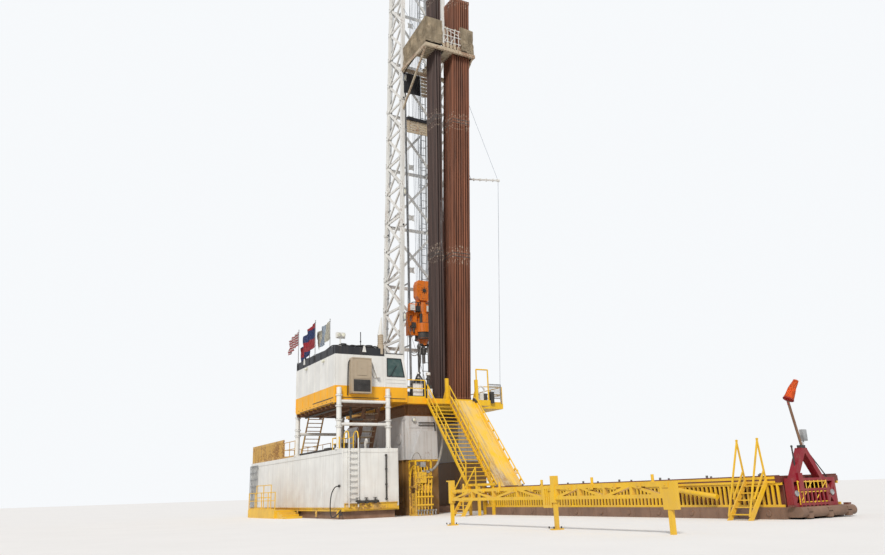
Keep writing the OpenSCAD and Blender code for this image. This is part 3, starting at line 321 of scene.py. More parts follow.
RUST = (0.17, 0.062, 0.026)
DIRT = (0.40, 0.25, 0.165)
GREASE = (0.045, 0.035, 0.028)


# Finishes

def enamel(name, colour, rust=0.35, dust=0.4, rough=0.42, below=None, grime=0.25, wear=0.5, seams=None):
    """Weathered enamel: cloudy colour, rain streaks, rust in spots, and dust on ledges and near the ground.

    below is (height, colour) of a painted band, and seams is (axis, pitch) of the plate joints.
    """
    g = Graph(name)
    coat = rgb(colour)
    shade = rgb(colour, 0.86)
    if below:
        band = g.axis("Z") < below[0]
        coat = g.blend(band, coat, rgb(below[1]))
        shade = g.blend(band, shade, rgb(below[1], 0.84))
    cloud = g.noise(1.7, 4.0)
    streak = g.noise(1.0, 4.0, 0.6, g.stretched(11.0, 11.0, 0.55)).step(0.50, 0.78)
    speck = g.noise(15.0, 5.0, 0.72)
    spots = (speck + cloud * wear).step(0.98 - 0.17 * rust, 1.04 - 0.10 * rust)
    height = g.axis("Z")
    near_ground = (1.0 - height.step(0.0, 1.5)) * g.noise(3.2, 3.0).step(0.3, 0.75)
    ledges = g.facing("Z").step(0.55, 0.95) * g.noise(4.5, 3.0).step(0.25, 0.7)
    dusty = ((near_ground + ledges * 0.8) * dust).clamped()
    base = g.blend(cloud.step(0.3, 0.7), shade, coat)
    base = g.blend(streak * grime, base, rgb((0.25, 0.17, 0.11)))
    base = g.blend(spots * rust, base, rgb(RUST))
    base = g.blend(dusty, base, rgb(DIRT))
    relief = g.noise(30.0, 2.0) + spots * 0.6
    if seams:
        joint = g.lines(seams[0], seams[1], 0.012)
        base = g.blend(joint * 0.35, base, rgb((0.30, 0.28, 0.25)))
        relief = relief - joint * 2.0
    roughness = rough + spots * 0.3 + dusty * 0.3 + streak * 0.1
    normal = g.bump(relief, 0.12, 0.004)
    return g.surface(Base_Color=base, Roughness=roughness.clamped(), Normal=normal)


def bare_metal(name, colour, rough=0.5, metallic=0.7, grease=0.5):
    """Bare steel with grease in patches."""
    g = Graph(name)
    smear = g.noise(6.0, 5.0, 0.65)
    patch = g.noise(2.3, 4.0).step(0.45, 0.65)
    base = g.blend(smear.step(0.35, 0.7), rgb(colour, 0.5), rgb(colour))
    base = g.blend(patch * grease, base, rgb(GREASE))
    normal = g.bump(g.noise(50.0, 2.0), 0.15, 0.002)
    return g.surface(Base_Color=base, Roughness=(rough + smear * 0.25).clamped(), Metallic=metallic,
        Normal=normal)


def pipe_rust(name, colour, shade):
    """Racked pipe: long vertical streaks of rust, and painted highlights in bright speckled rings at the tool joints.
    """
    g = Graph(name)
    fine = g.noise(1.0, 3.0, 0.6, g.stretched(34.0, 34.0, 0.35)).step(0.36, 0.62)
    long = g.noise(1.0, 2.0, 0.5, g.stretched(8.0, 8.0, 0.10)).step(0.40, 0.62)
    single = high("pipe_stands_far").z - FLOOR_TOP
    along = ((g.axis("Z") - FLOOR_TOP) * (3.0 / single) + 0.5).fraction()
    joint = (along - 0.5) * (along - 0.5) < 0.0045
    off_the_floor = g.axis("Z").step(FLOOR_TOP + 0.9, FLOOR_TOP + 1.1)
    # Painted highlight: bright speckles in rings at the tool joints, from about a metre above the floor up
    joint_highlight = joint * off_the_floor * g.noise(17.0, 3.0, 0.7).step(0.55, 0.63)
    base = g.blend(fine, rgb(colour, shade), rgb(colour))
    base = g.blend(long * 0.5, base, rgb(colour, 1.7))
    base = g.blend(joint_highlight * 0.6, base, rgb((0.50, 0.40, 0.31)))
    normal = g.bump(g.noise(45.0, 3.0) + fine, 0.2, 0.002)
    return g.surface(Base_Color=base, Roughness=(0.55 + fine * 0.2).clamped(), Metallic=0.15, Normal=normal)


def woven(name, colour, soil_and_crease_shade=0.45, thread=220.0, through=0.0):
    """Cloth with a fine weave, soiled in clouds, with painted shade darkening its creases."""
    g = Graph(name)
    warp = (g.axis("Z") * thread).fraction().step(0.2, 0.8)
    weft = ((g.axis("X") + g.axis("Y")) * thread).fraction().step(0.2, 0.8)
    cloud = g.noise(2.1, 5.0, 0.6).step(0.35, 0.7)
    run = g.noise(1.0, 4.0, 0.6, g.stretched(8.0, 8.0, 0.8)).step(0.45, 0.75)
    base = g.blend(cloud, rgb(colour, 0.72), rgb(colour, 1.12))
    base = g.blend(run * soil_and_crease_shade, base, rgb((0.13, 0.095, 0.06)))
    crease_and_shade = g.noise(5.5, 4.0, 0.7).step(0.35, 0.65)
    # Painted shade: the cloth is darkened in its creases, which also give the bump
    base = g.blend(crease_and_shade * (0.5 * soil_and_crease_shade), base, rgb(colour, 0.55))
    normal = g.bump((warp + weft) * 0.04 + crease_and_shade, 0.6, 0.03)
    return g.surface(
        Base_Color=base, Roughness=(0.82 + cloud * 0.1).clamped(), Normal=normal, Subsurface_Weight=through)


def striped(name, first, second, letter, pitch):
    """Flag cloth in even stripes of two colours."""
    g = Graph(name)
    stripe = g.lines(letter, pitch, pitch / 2)
    cloud = g.noise(5.0, 3.0).step(0.3, 0.7)
    base = g.blend(stripe, rgb(first), rgb(second))
    base = g.blend(cloud * 0.25, base, rgb((0.3, 0.28, 0.27)))
    return g.surface(Base_Color=base, Roughness=0.85, Normal=g.bump(g.noise(60.0, 2.0), 0.2, 0.002))


def tinted_glass(name, colour):
    """Dark window glass with dust at its edges."""
    g = Graph(name)
    dust = g.noise(7.0, 4.0).step(0.45, 0.8)
    base = g.blend(dust * 0.35, rgb(colour), rgb((0.20, 0.22, 0.20)))
    return g.surface(Base_Color=base, Roughness=(0.08 + dust * 0.25).clamped(), Coat_Weight=0.4)


def ramp_wear(name, colour):
    """Yellow sheet scraped to bare rusty steel in long tracks down the ramp."""
    g = Graph(name)
    side = g.axis("Y") - WELL.y
    track = g.noise(1.0, 5.0, 0.65, g.stretched(0.6, 9.0, 0.6))
    near_side = 1.0 - side.step(-0.42, 0.02)
    foot = 1.0 - g.axis("Z").step(0.75, 1.35)
    centre = side.step(-0.15, 0.0) * (1.0 - side.step(0.05, 0.3))
    worn = (track + near_side * 0.14 + foot * centre * 0.30).step(0.53, 0.70)
    pale = g.noise(2.4, 4.0).step(0.35, 0.7)
    steel = g.blend(g.noise(14.0, 4.0, 0.7).step(0.4, 0.65), rgb((0.30, 0.16, 0.08)), rgb((0.42, 0.36, 0.28)))
    base = g.blend(pale, rgb(colour), rgb((0.72, 0.50, 0.16)))
    base = g.blend(worn * 0.78, base, steel)
    scrape = g.noise(1.0, 5.0, 0.7, g.stretched(3.5, 30.0, 3.5)).step(0.52, 0.66)
    base = g.blend(scrape * 0.55, base, rgb((0.60, 0.52, 0.38)))
    normal = g.bump(g.noise(25.0, 3.0) - worn - scrape * 0.5, 0.2, 0.004)
    return g.surface(Base_Color=base, Roughness=(0.45 + worn * 0.2).clamped(), Normal=normal)


def pale_floor(name, colour):
    """The plain studio floor, faintly mottled."""
    g = Graph(name)
    mottle = g.noise(0.8, 4.0).step(0.3, 0.7)
    base = g.blend(mottle, rgb(colour, 0.97), rgb(colour))
    return g.surface(Base_Color=base, Roughness=0.92, Normal=g.bump(g.noise(12.0, 3.0), 0.08, 0.004))


FINISHES = {}


def make_finishes(c):
    white, yellow, brown = c.white[:], c.yellow[:], c.brown[:]
    make = FINISHES
    make["white_paint"] = enamel("white_enamel", white, 0.35, 0.45)
    make["mast_white"] = enamel("mast_enamel", white, 0.55, 0.5, 0.45, grime=0.5, wear=0.55)
    make["house_white"] = enamel(
        "house_enamel", white, 0.25, 0.25, 0.38, below=(BAND_TOP, c.amber[:]), grime=0.16, seams=("X", 0.57))
    make["cab_white"] = enamel("cab_enamel", white, 0.2, 0.2, 0.35, below=(BAND_TOP, c.amber[:]), grime=0.12)
    make["tank_white"] = enamel("tank_enamel", white, 0.3, 0.35, 0.4, grime=0.22, wear=0.45,
        seams=("X", 1.12))
    box_band = high("floor_girders").z - 1.59
    # The side boxes' white is darker and bluer than the rest: painted shade of the drill floor above them, besides
    # their dirt
    make["box_white_shaded"] = enamel(
        "box_shaded_enamel", (white[0] * 0.74, white[1] * 0.74, white[2] * 0.77), 0.5, 0.7, 0.48,
        below=(box_band, c.ochre[:]), grime=0.5, seams=("X", 0.9))
    make["yellow_paint"] = enamel("yellow_enamel", yellow, 0.5, 0.35, grime=0.3)
    make["amber_paint"] = enamel("amber_enamel", c.amber[:], 0.3, 0.25, 0.4, grime=0.2)
    make["dirty_yellow"] = enamel("dirty_yellow_enamel", yellow, 0.85, 0.7, 0.5, grime=0.7, wear=0.7)
    make["screen_yellow"] = enamel("screen_enamel", (0.62, 0.37, 0.08), 0.8, 0.5, 0.5, grime=0.7, wear=0.7)
    make["orange_paint"] = enamel("orange_enamel", c.orange[:], 0.5, 0.0, 0.35, grime=0.6, wear=0.6)
    make["red_paint"] = enamel("red_enamel", c.red[:], 0.3, 0.12, 0.4, grime=0.3)
    make["deck_red"] = enamel("deck_enamel", (0.13, 0.02, 0.016), 0.5, 0.25, 0.5, grime=0.5)
    make["brown_paint"] = enamel("brown_enamel", brown, 0.6, 0.5, 0.5, grime=0.5)
    make["girder_brown"] = enamel("girder_enamel", (0.20, 0.095, 0.03), 0.8, 0.3, 0.5, grime=0.6, wear=0.7)
    make["tank_skid"] = enamel(
        "tank_skid_enamel", yellow, 0.5, 0.5, 0.5, below=(SHELL_LOW - 0.1, brown), grime=0.5)
    make["catwalk_skid"] = enamel("catwalk_skid_enamel", (0.17, 0.10, 0.068), 0.5, 0.35, 0.6, grime=0.4)
    make["black_paint"] = enamel("black_enamel", c.black[:], 0.15, 0.12, 0.4, grime=0.1)
    make["tan_paint"] = enamel("tan_enamel", c.tan[:], 0.3, 0.1, grime=0.3)
    make["board_paint"] = enamel("board_enamel", (0.50, 0.42, 0.30), 0.7, 0.3, 0.5, grime=0.5, wear=0.7)
    make["bare_steel"] = bare_metal("greasy_steel", c.steel[:])
    make["dark_metal"] = bare_metal("dark_machine_steel", (0.09, 0.085, 0.08), 0.45, 0.4)
    make["galvanised"] = bare_metal("galvanised_steel", (0.55, 0.56, 0.56), 0.4, 0.6, 0.12)
    make["wire_rope"] = bare_metal("wire_rope", c.rope[:], 0.45, 0.6, 0.1)
    make["pipe_steel"] = pipe_rust("rusty_pipe", c.rust_pipe[:], 0.42)
    make["near_pipe"] = pipe_rust("dark_pipe", c.dark_pipe[:], 0.45)
    make["canvas"] = woven("windwall_canvas", c.canvas[:])
    make["dark_glass"] = tinted_glass("tinted_glass", c.glass[:])
    make["rubber"] = bare_metal("hose_rubber", c.rubber[:], 0.55, 0.0, 0.3)
    make["pale_hose"] = bare_metal("pale_hose", (0.42, 0.40, 0.36), 0.6, 0.0, 0.2)
    make["lamp_glass"] = bare_metal("lamp_glass", (0.85, 0.84, 0.70), 0.15, 0.0, 0.0)
    make["sock"] = woven("sock_cloth", c.sock[:], 0.05, 160.0, 0.1)
    make["flag_stripes"] = striped("striped_flag", c.flag_red[:], (0.62, 0.58, 0.56), "Z", 0.085)
    make["flag_blue"] = striped("banded_flag", c.flag_blue[:], c.flag_red[:], "Z", 0.62)
    make["flag_pale"] = striped("pale_flag", (0.62, 0.60, 0.50), (0.42, 0.50, 0.58), "X", 0.8)
    make["ramp_sheet"] = ramp_wear("worn_ramp", yellow)


NODE_FINISHES = {
    "mast_side_near": "mast_white", "mast_side_far": "mast_white", "mast_rear": "mast_white",
    "crown_frame": "mast_white", "dog_wall_near": "house_white", "dog_wall_front": "house_white",
    "dog_wall_rear": "house_white", "dog_wall_far": "house_white", "dog_doors": "house_white",
    "dog_floor": "amber_paint", "cab_shell": "cab_white", "side_box_near": "box_white_shaded",
    "side_box_far": "box_white_shaded", "tank_walls_long": "tank_white", "tank_walls_end": "tank_white",
    "tank_roof": "tank_white", "tank_skid": "tank_skid", "tank_stair": "screen_yellow",
    "tank_screen": "screen_yellow", "floor_girders": "girder_brown", "floor_near": "amber_paint",
    "hydraulic_unit": "dirty_yellow", "catwalk_deck": "deck_red", "catwalk_skid": "catwalk_skid",
    "pipe_stands_near": "near_pipe", "ramp": "ramp_sheet", "travelling_block": "orange_paint",
    "hvac_unit": "tan_paint", "guide_rails": "galvanised", "mast_ladder": "galvanised",
}


# Mesh making

class Shape:
    """Collects solids into one mesh, with places in metres from the well at ground level."""

    def __init__(self):
        self.mesh = bmesh.new()

    def box(self, lo, hi):
        lo, hi = Vector(lo), Vector(hi)
        size = hi - lo
        matrix = Matrix.Translation((lo + hi) / 2) @ Matrix.Diagonal((size.x, size.y, size.z, 1.0))
        bmesh.ops.create_cube(self.mesh, size=1.0, matrix=matrix)

    def beam(self, a, b, w, d=None):
        """A square bar between two points."""
        a, b = Vector(a), Vector(b)
        along = b - a
        turn = along.to_track_quat("Z", "Y").to_matrix().to_4x4()
        size = Matrix.Diagonal((w, d or w, along.length, 1.0))
        bmesh.ops.create_cube(self.mesh, size=1.0, matrix=Matrix.Translation((a + b) / 2) @ turn @ size)

    def rod(self, a, b, r, sides=12, r2=None):
        """A round bar or cone between two points."""
        a, b = Vector(a), Vector(b)
        along = b - a
        turn = along.to_track_quat("Z", "Y").to_matrix().to_4x4()
        bmesh.ops.create_cone(
            self.mesh, cap_ends=True, segments=sides, radius1=r, radius2=r if r2 is None else r2,
            depth=along.length, matrix=Matrix.Translation((a + b) / 2) @ turn)

    def tube(self, points, r, sides=8):
        """A round bar bent along points."""
        points = [Vector(p) for p in points]
        side = (points[1] - points[0]).orthogonal().normalized()
        rings = []
        for i, point in enumerate(points):
            ahead = (points[min(i + 1, len(points) - 1)] - points[max(i - 1, 0)]).normalized()
            side = (side - ahead * side.dot(ahead)).normalized()
            other = ahead.cross(side)
            turns = [2 * math.pi * k / sides for k in range(sides)]
            rings.append([self.mesh.verts.new(point + (side * math.cos(t) + other * math.sin(t)) * r) for t in turns])
        for a, b in zip(rings, rings[1:]):
            for k in range(sides):
                self.mesh.faces.new((a[k], a[(k + 1) % sides], b[(k + 1) % sides], b[k]))
        self.mesh.faces.new(rings[0][::-1])
        self.mesh.faces.new(rings[-1])

    def ring(self, centre, axis, big, small, sides=24):
        """A round bar bent into a ring about an axis."""
        centre, axis = Vector(centre), Vector(axis).normalized()
        side = axis.orthogonal().normalized()
        other = axis.cross(side)
        loops = []
        for i in range(sides):
            t = 2 * math.pi * i / sides
            out = side * math.cos(t) + other * math.sin(t)
            middle = centre + out * big
            loops.append([
                self.mesh.verts.new(middle + (out * math.cos(u) + axis * math.sin(u)) * small)
                for u in (2 * math.pi * k / 8 for k in range(8))])
        for a, b in zip(loops, loops[1:] + loops[:1]):
            for k in range(8):
                self.mesh.faces.new((a[k], b[k], b[(k + 1) % 8], a[(k + 1) % 8]))

    def plate(self, outline, push):
        """A flat plate: an outline of points, pushed along a vector for its thickness."""
        push = Vector(push)
        outline = [Vector(p) for p in outline]
        normal = sum(((b - outline[0]).cross(c - outline[0]) for b, c in zip(outline[1:], outline[2:])),
            Vector())
        if normal.dot(push) < 0:
            outline.reverse()
        back = [self.mesh.verts.new(p) for p in outline]
        front = [self.mesh.verts.new(p + push) for p in outline]
        self.mesh.faces.new(back[::-1])
        self.mesh.faces.new(front)
        for k in range(len(back)):
            after = (k + 1) % len(back)
            self.mesh.faces.new((back[k], back[after], front[after], front[k]))

    def dome(self, centre, r, squash=(1.0, 1.0, 1.0)):
        matrix = Matrix.Translation(Vector(centre)) @ Matrix.Diagonal((*squash, 1.0))
        bmesh.ops.create_uvsphere(self.mesh, u_segments=16, v_segments=10, radius=r, matrix=matrix)

    def bolts(self, centre, axis, circle, count, r=0.009, high=0.014):
        """Bolt heads on a circle about an axis."""
        centre, axis = Vector(centre), Vector(axis).normalized()
        side = axis.orthogonal().normalized()
        other = axis.cross(side)
        for k in range(count):
            t = 2 * math.pi * k / count
            foot = centre + (side * math.cos(t) + other * math.sin(t)) * circle
            self.rod(foot, foot + axis * high, r, 6)

    def rails(self, path, sizes, height=None, toe=0.05):
        """A guard rail along a path: posts, a top rail, a knee rail and a toe board."""
        height = height or sizes.rail_height
        r = sizes.rail / 2
        up = Vector((0, 0, 1))
        for a, b in zip(path, path[1:]):
            a, b = Vector(a), Vector(b)
            count = max(2, round((b - a).length / sizes.post_pitch) + 1)
            for share in spread(0, 1, count):
                foot = on_line(a, b, share)
                self.rod(foot, foot + up * height, r, 8)
            for level in (height / 2, height - r):
                self.rod(a + up * level, b + up * level, r, 8)
            if toe:
                self.beam(a + up * toe / 2, b + up * toe / 2, 0.008, toe)

    def done(self, name, slot, body=RIG, look=None, smooth=False):
        """The piece as an object that rides on a body, in the slot's finish or in the look named."""
        bmesh.ops.translate(self.mesh, vec=WELL, verts=self.mesh.verts)
        data = bpy.data.meshes.new(name)
        self.mesh.to_mesh(data)
        self.mesh.free()
        data.materials.append(FINISHES[look or slot])
        if smooth:
            data.polygons.foreach_set("use_smooth", [True] * len(data.polygons))
            data.set_sharp_from_angle(angle=math.radians(40))
        piece = bpy.data.objects.new(name, data)
        bpy.context.scene.collection.objects.link(piece)
        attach(piece, body)
        return piece


def looped(start, turn, bottom, end, steps=6):
    """The path of a hose that leaves to the rear, hangs down, loops under and comes up into its end."""
    start, end = Vector(start), Vector(end)
    quarter = [math.pi / 2 * k / steps for k in range(steps + 1)]
    path = [start + Vector((-turn * math.sin(a), 0, turn * (math.cos(a) - 1))) for a in quarter]
    half = Vector((end.x - path[-1].x, end.y - path[-1].y, 0)) / 2
    middle = Vector((end.x - half.x, end.y - half.y, bottom + half.length))
    for a in (math.pi * k / (2 * steps) for k in range(2 * steps + 1)):
        path.append(middle - half * math.cos(a) - Vector((0, 0, half.length * math.sin(a))))
    return path + [end]


def hose(name, path, diameter, look, body=RIG, stiffness="medium", lay="hanging", slot="black_paint"):
    """A free hose along a smooth path between two fittings."""
    path = [p + WELL for p in path]
    data = bpy.data.curves.new(name, "CURVE")
    data.dimensions = "3D"
    data.bevel_depth = diameter / 2
    data.bevel_resolution = 3
    data.use_fill_caps = True
    spline = data.splines.new("POLY")
    spline.points.add(len(path) - 1)
    for point, place in zip(spline.points, path):
        point.co = (*place, 1.0)
    data.materials.append(FINISHES[look])
    piece = bpy.data.objects.new(name, data)
    bpy.context.scene.collection.objects.link(piece)
    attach(piece, body)
    round(length_of(path), 3)
    return piece


def cloth(name, corner, along, down, size, waves, look, held, thick=0.004, sag=0.0, ragged=0.0,
          gather=0.97, seed=1):
    """A sheet of cloth with folds across its length, from a corner along one direction and down another.

    waves are the (depth, length, turn) of its folds, and gather is its length in place over its flat length.
    """
    rng = random.Random(seed)
    along, down = Vector(along).normalized(), Vector(down).normalized()
    across = along.cross(down).normalized()
    width, length = size
    columns, rows = max(10, round(length / 0.05)), max(6, round(width / 0.06))
    shape = Shape()
    grid = []
    turns = [rng.uniform(0.0, 6.3) for _ in range(3)]
    nicks = [
        ragged * (0.5 + 0.25 * math.sin(i * 0.5 + turns[0]) + 0.15 * math.sin(i * 1.3 + turns[1])
                  + 0.1 * math.sin(i * 2.1 + turns[2])) for i in range(columns + 1)]
    for i in range(columns + 1):
        s = i / columns
        line = []
        for j in range(rows + 1):
            t = j / rows
            loose = min(1.0, s * 1.6) if held == "hung" else math.sin(math.pi * min(1.0, t * 1.1))
            push = sum(
                depth * math.sin(2 * math.pi * (s * length + t * width * turn) / wave) for depth, wave,
                turn in waves)
            reach = t * (width - nicks[i])
            place = Vector(corner) + along * (s * length * gather) + down * (reach + sag * s * s) + across * push * loose
            line.append(shape.mesh.verts.new(place))
        grid.append(line)
    for a, b in zip(grid, grid[1:]):
        for k in range(rows):
            shape.mesh.faces.new((a[k], a[k + 1], b[k + 1], b[k]))
    bmesh.ops.solidify(shape.mesh, geom=shape.mesh.faces[:], thickness=thick)
    bmesh.ops.recalc_face_normals(shape.mesh, faces=shape.mesh.faces[:])
    piece = shape.done(name, "canvas", look=look, smooth=True)
    0.98 * width * length
    return piece


# Stage

CAMERA_HEADING = 29.32
CAMERA_PITCH = 15.86
CAMERA_ROLL = -1.905
CAMERA_LENS = 30.75
CAMERA_FROM_WELL = Vector((22.4, -11.75))
CAMERA_HEIGHT = 0.6


def make_camera():
    heading, pitch, roll = (math.radians(a) for a in (CAMERA_HEADING, CAMERA_PITCH, CAMERA_ROLL))
    level = Vector((-math.cos(heading), math.sin(heading), 0.0))
    right0 = Vector((math.sin(heading), math.cos(heading), 0.0))
    forward = level * math.cos(pitch) + Vector((0, 0, math.sin(pitch)))
    up0 = right0.cross(forward)
    right = right0 * math.cos(roll) + up0 * math.sin(roll)
    up = right.cross(forward)
    data = bpy.data.cameras.new("camera")
    data.lens = CAMERA_LENS
    data.sensor_width = 36.0
    data.clip_end = 500.0
    camera = bpy.data.objects.new("camera", data)
    bpy.context.scene.collection.objects.link(camera)
    turn = Matrix((right, up, -forward)).transposed().to_4x4()
    place = Vector((WELL.x + CAMERA_FROM_WELL.x, WELL.y + CAMERA_FROM_WELL.y, CAMERA_HEIGHT))
    camera.matrix_world = Matrix.Translation(place) @ turn
    bpy.context.scene.camera = camera


def make_ground(colour):
    size = 400.0
    data = bpy.data.meshes.new("floor")
    data.from_pydata([(-size, -size, 0), (size, -size, 0), (size, size, 0), (-size, size, 0)], [],
        [(0, 1, 2, 3)])
    data.materials.append(pale_floor("pale_floor", colour))
    floor = bpy.data.objects.new("floor", data)
    bpy.context.scene.collection.objects.link(floor)


def make_lights():
    world = bpy.data.worlds.new("studio")
    world.use_nodes = True
    tree = world.node_tree
    tree.nodes.clear()
    background = tree.nodes.new("ShaderNodeBackground")
    background.inputs["Color"].default_value = (0.90, 0.93, 1.0, 1.0)
    background.inputs["Strength"].default_value = 0.60
    white = tree.nodes.new("ShaderNodeBackground")
    white.inputs["Color"].default_value = (0.93, 0.95, 0.97, 1.0)
    path = tree.nodes.new("ShaderNodeLightPath")
    mix = tree.nodes.new("ShaderNodeMixShader")
    output = tree.nodes.new("ShaderNodeOutputWorld")
    tree.links.new(path.outputs["Is Camera Ray"], mix.inputs[0])
    tree.links.new(background.outputs[0], mix.inputs[1])
    tree.links.new(white.outputs[0], mix.inputs[2])
    tree.links.new(mix.outputs[0], output.inputs[0])
    bpy.context.scene.world = world
    data = bpy.data.lights.new("key", "SUN")
    data.energy = 2.75
    data.angle = math.radians(12)
    data.color = (1.0, 0.96, 0.90)
    key = bpy.data.objects.new("key", data)
    bpy.context.scene.collection.objects.link(key)
    key.rotation_euler = Vector((0.64, -0.56, 0.74)).to_track_quat("Z", "Y").to_euler()


class RIG_OT_stage(bpy.types.Operator):
    """Makes the camera, the pale floor and the studio light"""

    bl_idname = "rig.stage"
    bl_label = "Stage"

    def execute(self, context):
        make_camera()
        make_ground(context.scene.rig_colours.floor[:])
        make_lights()
        context.scene.view_settings.view_transform = "Standard"
        return {"FINISHED"}


class RIG_OT_finishes(bpy.types.Operator):
    """Makes the finishes and puts them on the frame's pieces"""

    bl_idname = "rig.finishes"
    bl_label = "Finishes"

    def execute(self, context):
        make_finishes(context.scene.rig_colours)
        slots = {row["node"]: row["material_slot"] for row in frame["record"]["subparts"]}
        for node, piece in frame["nodes"].items():
            piece.data.materials.clear()
            piece.data.materials.append(FINISHES[NODE_FINISHES.get(node, slots[node])])
        return {"FINISHED"}


class RIG_OT_hoses(bpy.types.Operator):
    """Makes the free hoses of the tank, the hydraulic unit and the top drive"""

    bl_idname = "rig.hoses"
    bl_label = "Hoses"

    def execute(self, context):
        sizes = context.scene.rig_sizes
        face = TANK_LOW.y
        end = TANK_HIGH.x
        hose("tank_hose", smooth([
            (end - 0.15, face - 0.022, 0.85), (end - 0.22, face - 0.11, 0.82),
            (end - 0.32, face - 0.17, 0.66),
            (end - 0.36, face - 0.19, 0.40), (end - 0.34, face - 0.19, 0.18), (end - 0.24, face - 0.19, 0.06),
            (end - 0.09, face - 0.14, 0.09), (end - 0.03, face - 0.02, 0.235)], 5),
            sizes.hose, "rubber")
        lo, hi = low("hydraulic_unit"), high("hydraulic_unit")
        x = lo.x + 0.23
        hose("unit_hose_small", smooth([
            (x, lo.y + 0.05, 1.31), (x + 0.01, lo.y + 0.09, 1.50), (x + 0.01, lo.y + 0.20, 1.69),
            (x, lo.y + 0.33, 1.70), (x, lo.y + 0.42, 1.52)], 5),
            sizes.small_hose, "pale_hose", lay="loose")
        hose("unit_hose_large", smooth([
            (x, hi.y - 0.20, 1.02), (x + 0.02, hi.y - 0.12, 1.14), (x + 0.02, hi.y + 0.02, 1.22),
            (x, hi.y + 0.22, 1.40), (x - 0.04, hi.y + 0.37, 1.75), (x - 0.14, hi.y + 0.49, 2.12),
            (x - 0.25, hi.y + 0.51, 2.42), (x - 0.33, hi.y + 0.44, 2.60)], 5),
            sizes.large_hose, "pale_hose", stiffness="stiff")
        bell = low("top_drive").z
        for k, (rise, drop) in enumerate(((0.40, 0.0), (0.50, 0.09))):
            path = looped((-0.075, -0.41, bell + rise), 0.125, bell - 0.24 - drop,
                (-0.08, -0.15, bell + 0.12))
            hose(f"service_hose_{k + 1}", path, sizes.service_hose, "pale_hose", body=HOIST)
        return {"FINISHED"}


class RIG_OT_house_trim(bpy.types.Operator):
    """Makes the strips, seams, window frames, hinges and lamps of the doghouse"""

    bl_idname = "rig.house_trim"
    bl_label = "Doghouse trim"

    def execute(self, context):
        sizes = context.scene.rig_sizes
        stand = sizes.strip
        lo, hi = HOUSE_LOW, HOUSE_HIGH
        sheet = low("dog_wall_near").z
        strips = Shape()
        for x in spread(lo.x + 0.09, hi.x - 0.09, sizes.seam_count):
            strips.box((x - 0.02, lo.y - stand, sheet), (x + 0.02, lo.y + 0.001, WALL_TOP))
            if x < 0.9 and not -0.66 < x < 0.46:
                strips.box((x - 0.02, hi.y - 0.001, sheet), (x + 0.02, hi.y + stand, WALL_TOP))
        for y in spread(lo.y + 0.07, hi.y - 0.07, 4):
            strips.box((hi.x - 0.001, y - 0.018, sheet), (hi.x + stand, y + 0.018, WALL_TOP))
            if abs(y + 3.36) > 0.26:
                strips.box((lo.x - stand, y - 0.018, sheet), (lo.x + 0.001, y + 0.018, WALL_TOP))
        for x in (lo.x, hi.x):
            for y in (lo.y, hi.y):
                strips.box((x - stand, y - stand, sheet - 0.1), (x + stand, y + stand, WALL_TOP))
        strips.done("house_strips", "white_paint", look="house_white")

        # Black strips at the wall feet and along the floor frame: painted shade in the recessed slots
        slots = Shape()
        slots.box((lo.x + 1.59, lo.y - stand - 0.002, sheet - 0.012), (hi.x - 0.14, lo.y, sheet + 0.008))
        slots.box((lo.x + 0.40, lo.y - stand, lo.z + 0.004), (hi.x - 0.14, lo.y, lo.z + 0.02))
        slots.box((hi.x, lo.y + 0.12, sheet - 0.010), (hi.x + stand + 0.002, hi.y - 0.2, sheet + 0.006))
        for x in spread(lo.x + 0.3, hi.x - 0.3, 9):
            slots.rod((x, lo.y + 0.002, lo.z + 0.075), (x, lo.y - 0.012, lo.z + 0.075), 0.012, 6)
        for y in spread(lo.y + 0.2, hi.y - 0.2, 5):
            slots.rod((hi.x - 0.002, y, lo.z + 0.075), (hi.x + 0.012, y, lo.z + 0.075), 0.012, 6)
        slots.done("house_slot_shade", "black_paint")

        fittings = Shape()
        y = hi.y + 0.006
        for x in (-0.62, -0.16):
            fittings.box((x - 0.02, y - 0.01, 3.79), (x + 0.02, y + 0.014, 4.23))
        for z in (3.81, 4.21):
            fittings.box((-0.64, y - 0.01, z - 0.02), (-0.14, y + 0.014, z + 0.02))
        for z in (3.5, 4.05):
            fittings.rod((-0.012, y + 0.005, z - 0.05), (-0.012, y + 0.005, z + 0.05), 0.014, 10)
        door = lo.x - 0.006
        for z in (3.5, 4.05):
            fittings.rod((door, -3.59, z - 0.05), (door, -3.59, z + 0.05), 0.014, 10)
        fittings.beam((door - 0.02, -3.19, 3.74), (door - 0.02, -3.19, 3.86), 0.014)
        fittings.done("house_window_frame", "white_paint")

        lamps = Shape()
        for x, y, out in ((lo.x + 1.0, lo.y, -1), (lo.x + 2.5, lo.y, -1), (0.2, hi.y, 1)):
            lamps.box((x - 0.05, y - 0.02, 4.38), (x + 0.05, y + 0.02, 4.44))
            lamps.dome((x, y + out * 0.045, 4.385), 0.045, (1.2, 0.9, 0.9))
        lamps.done("house_lamps", "white_paint", look="lamp_glass", smooth=True)
        return {"FINISHED"}


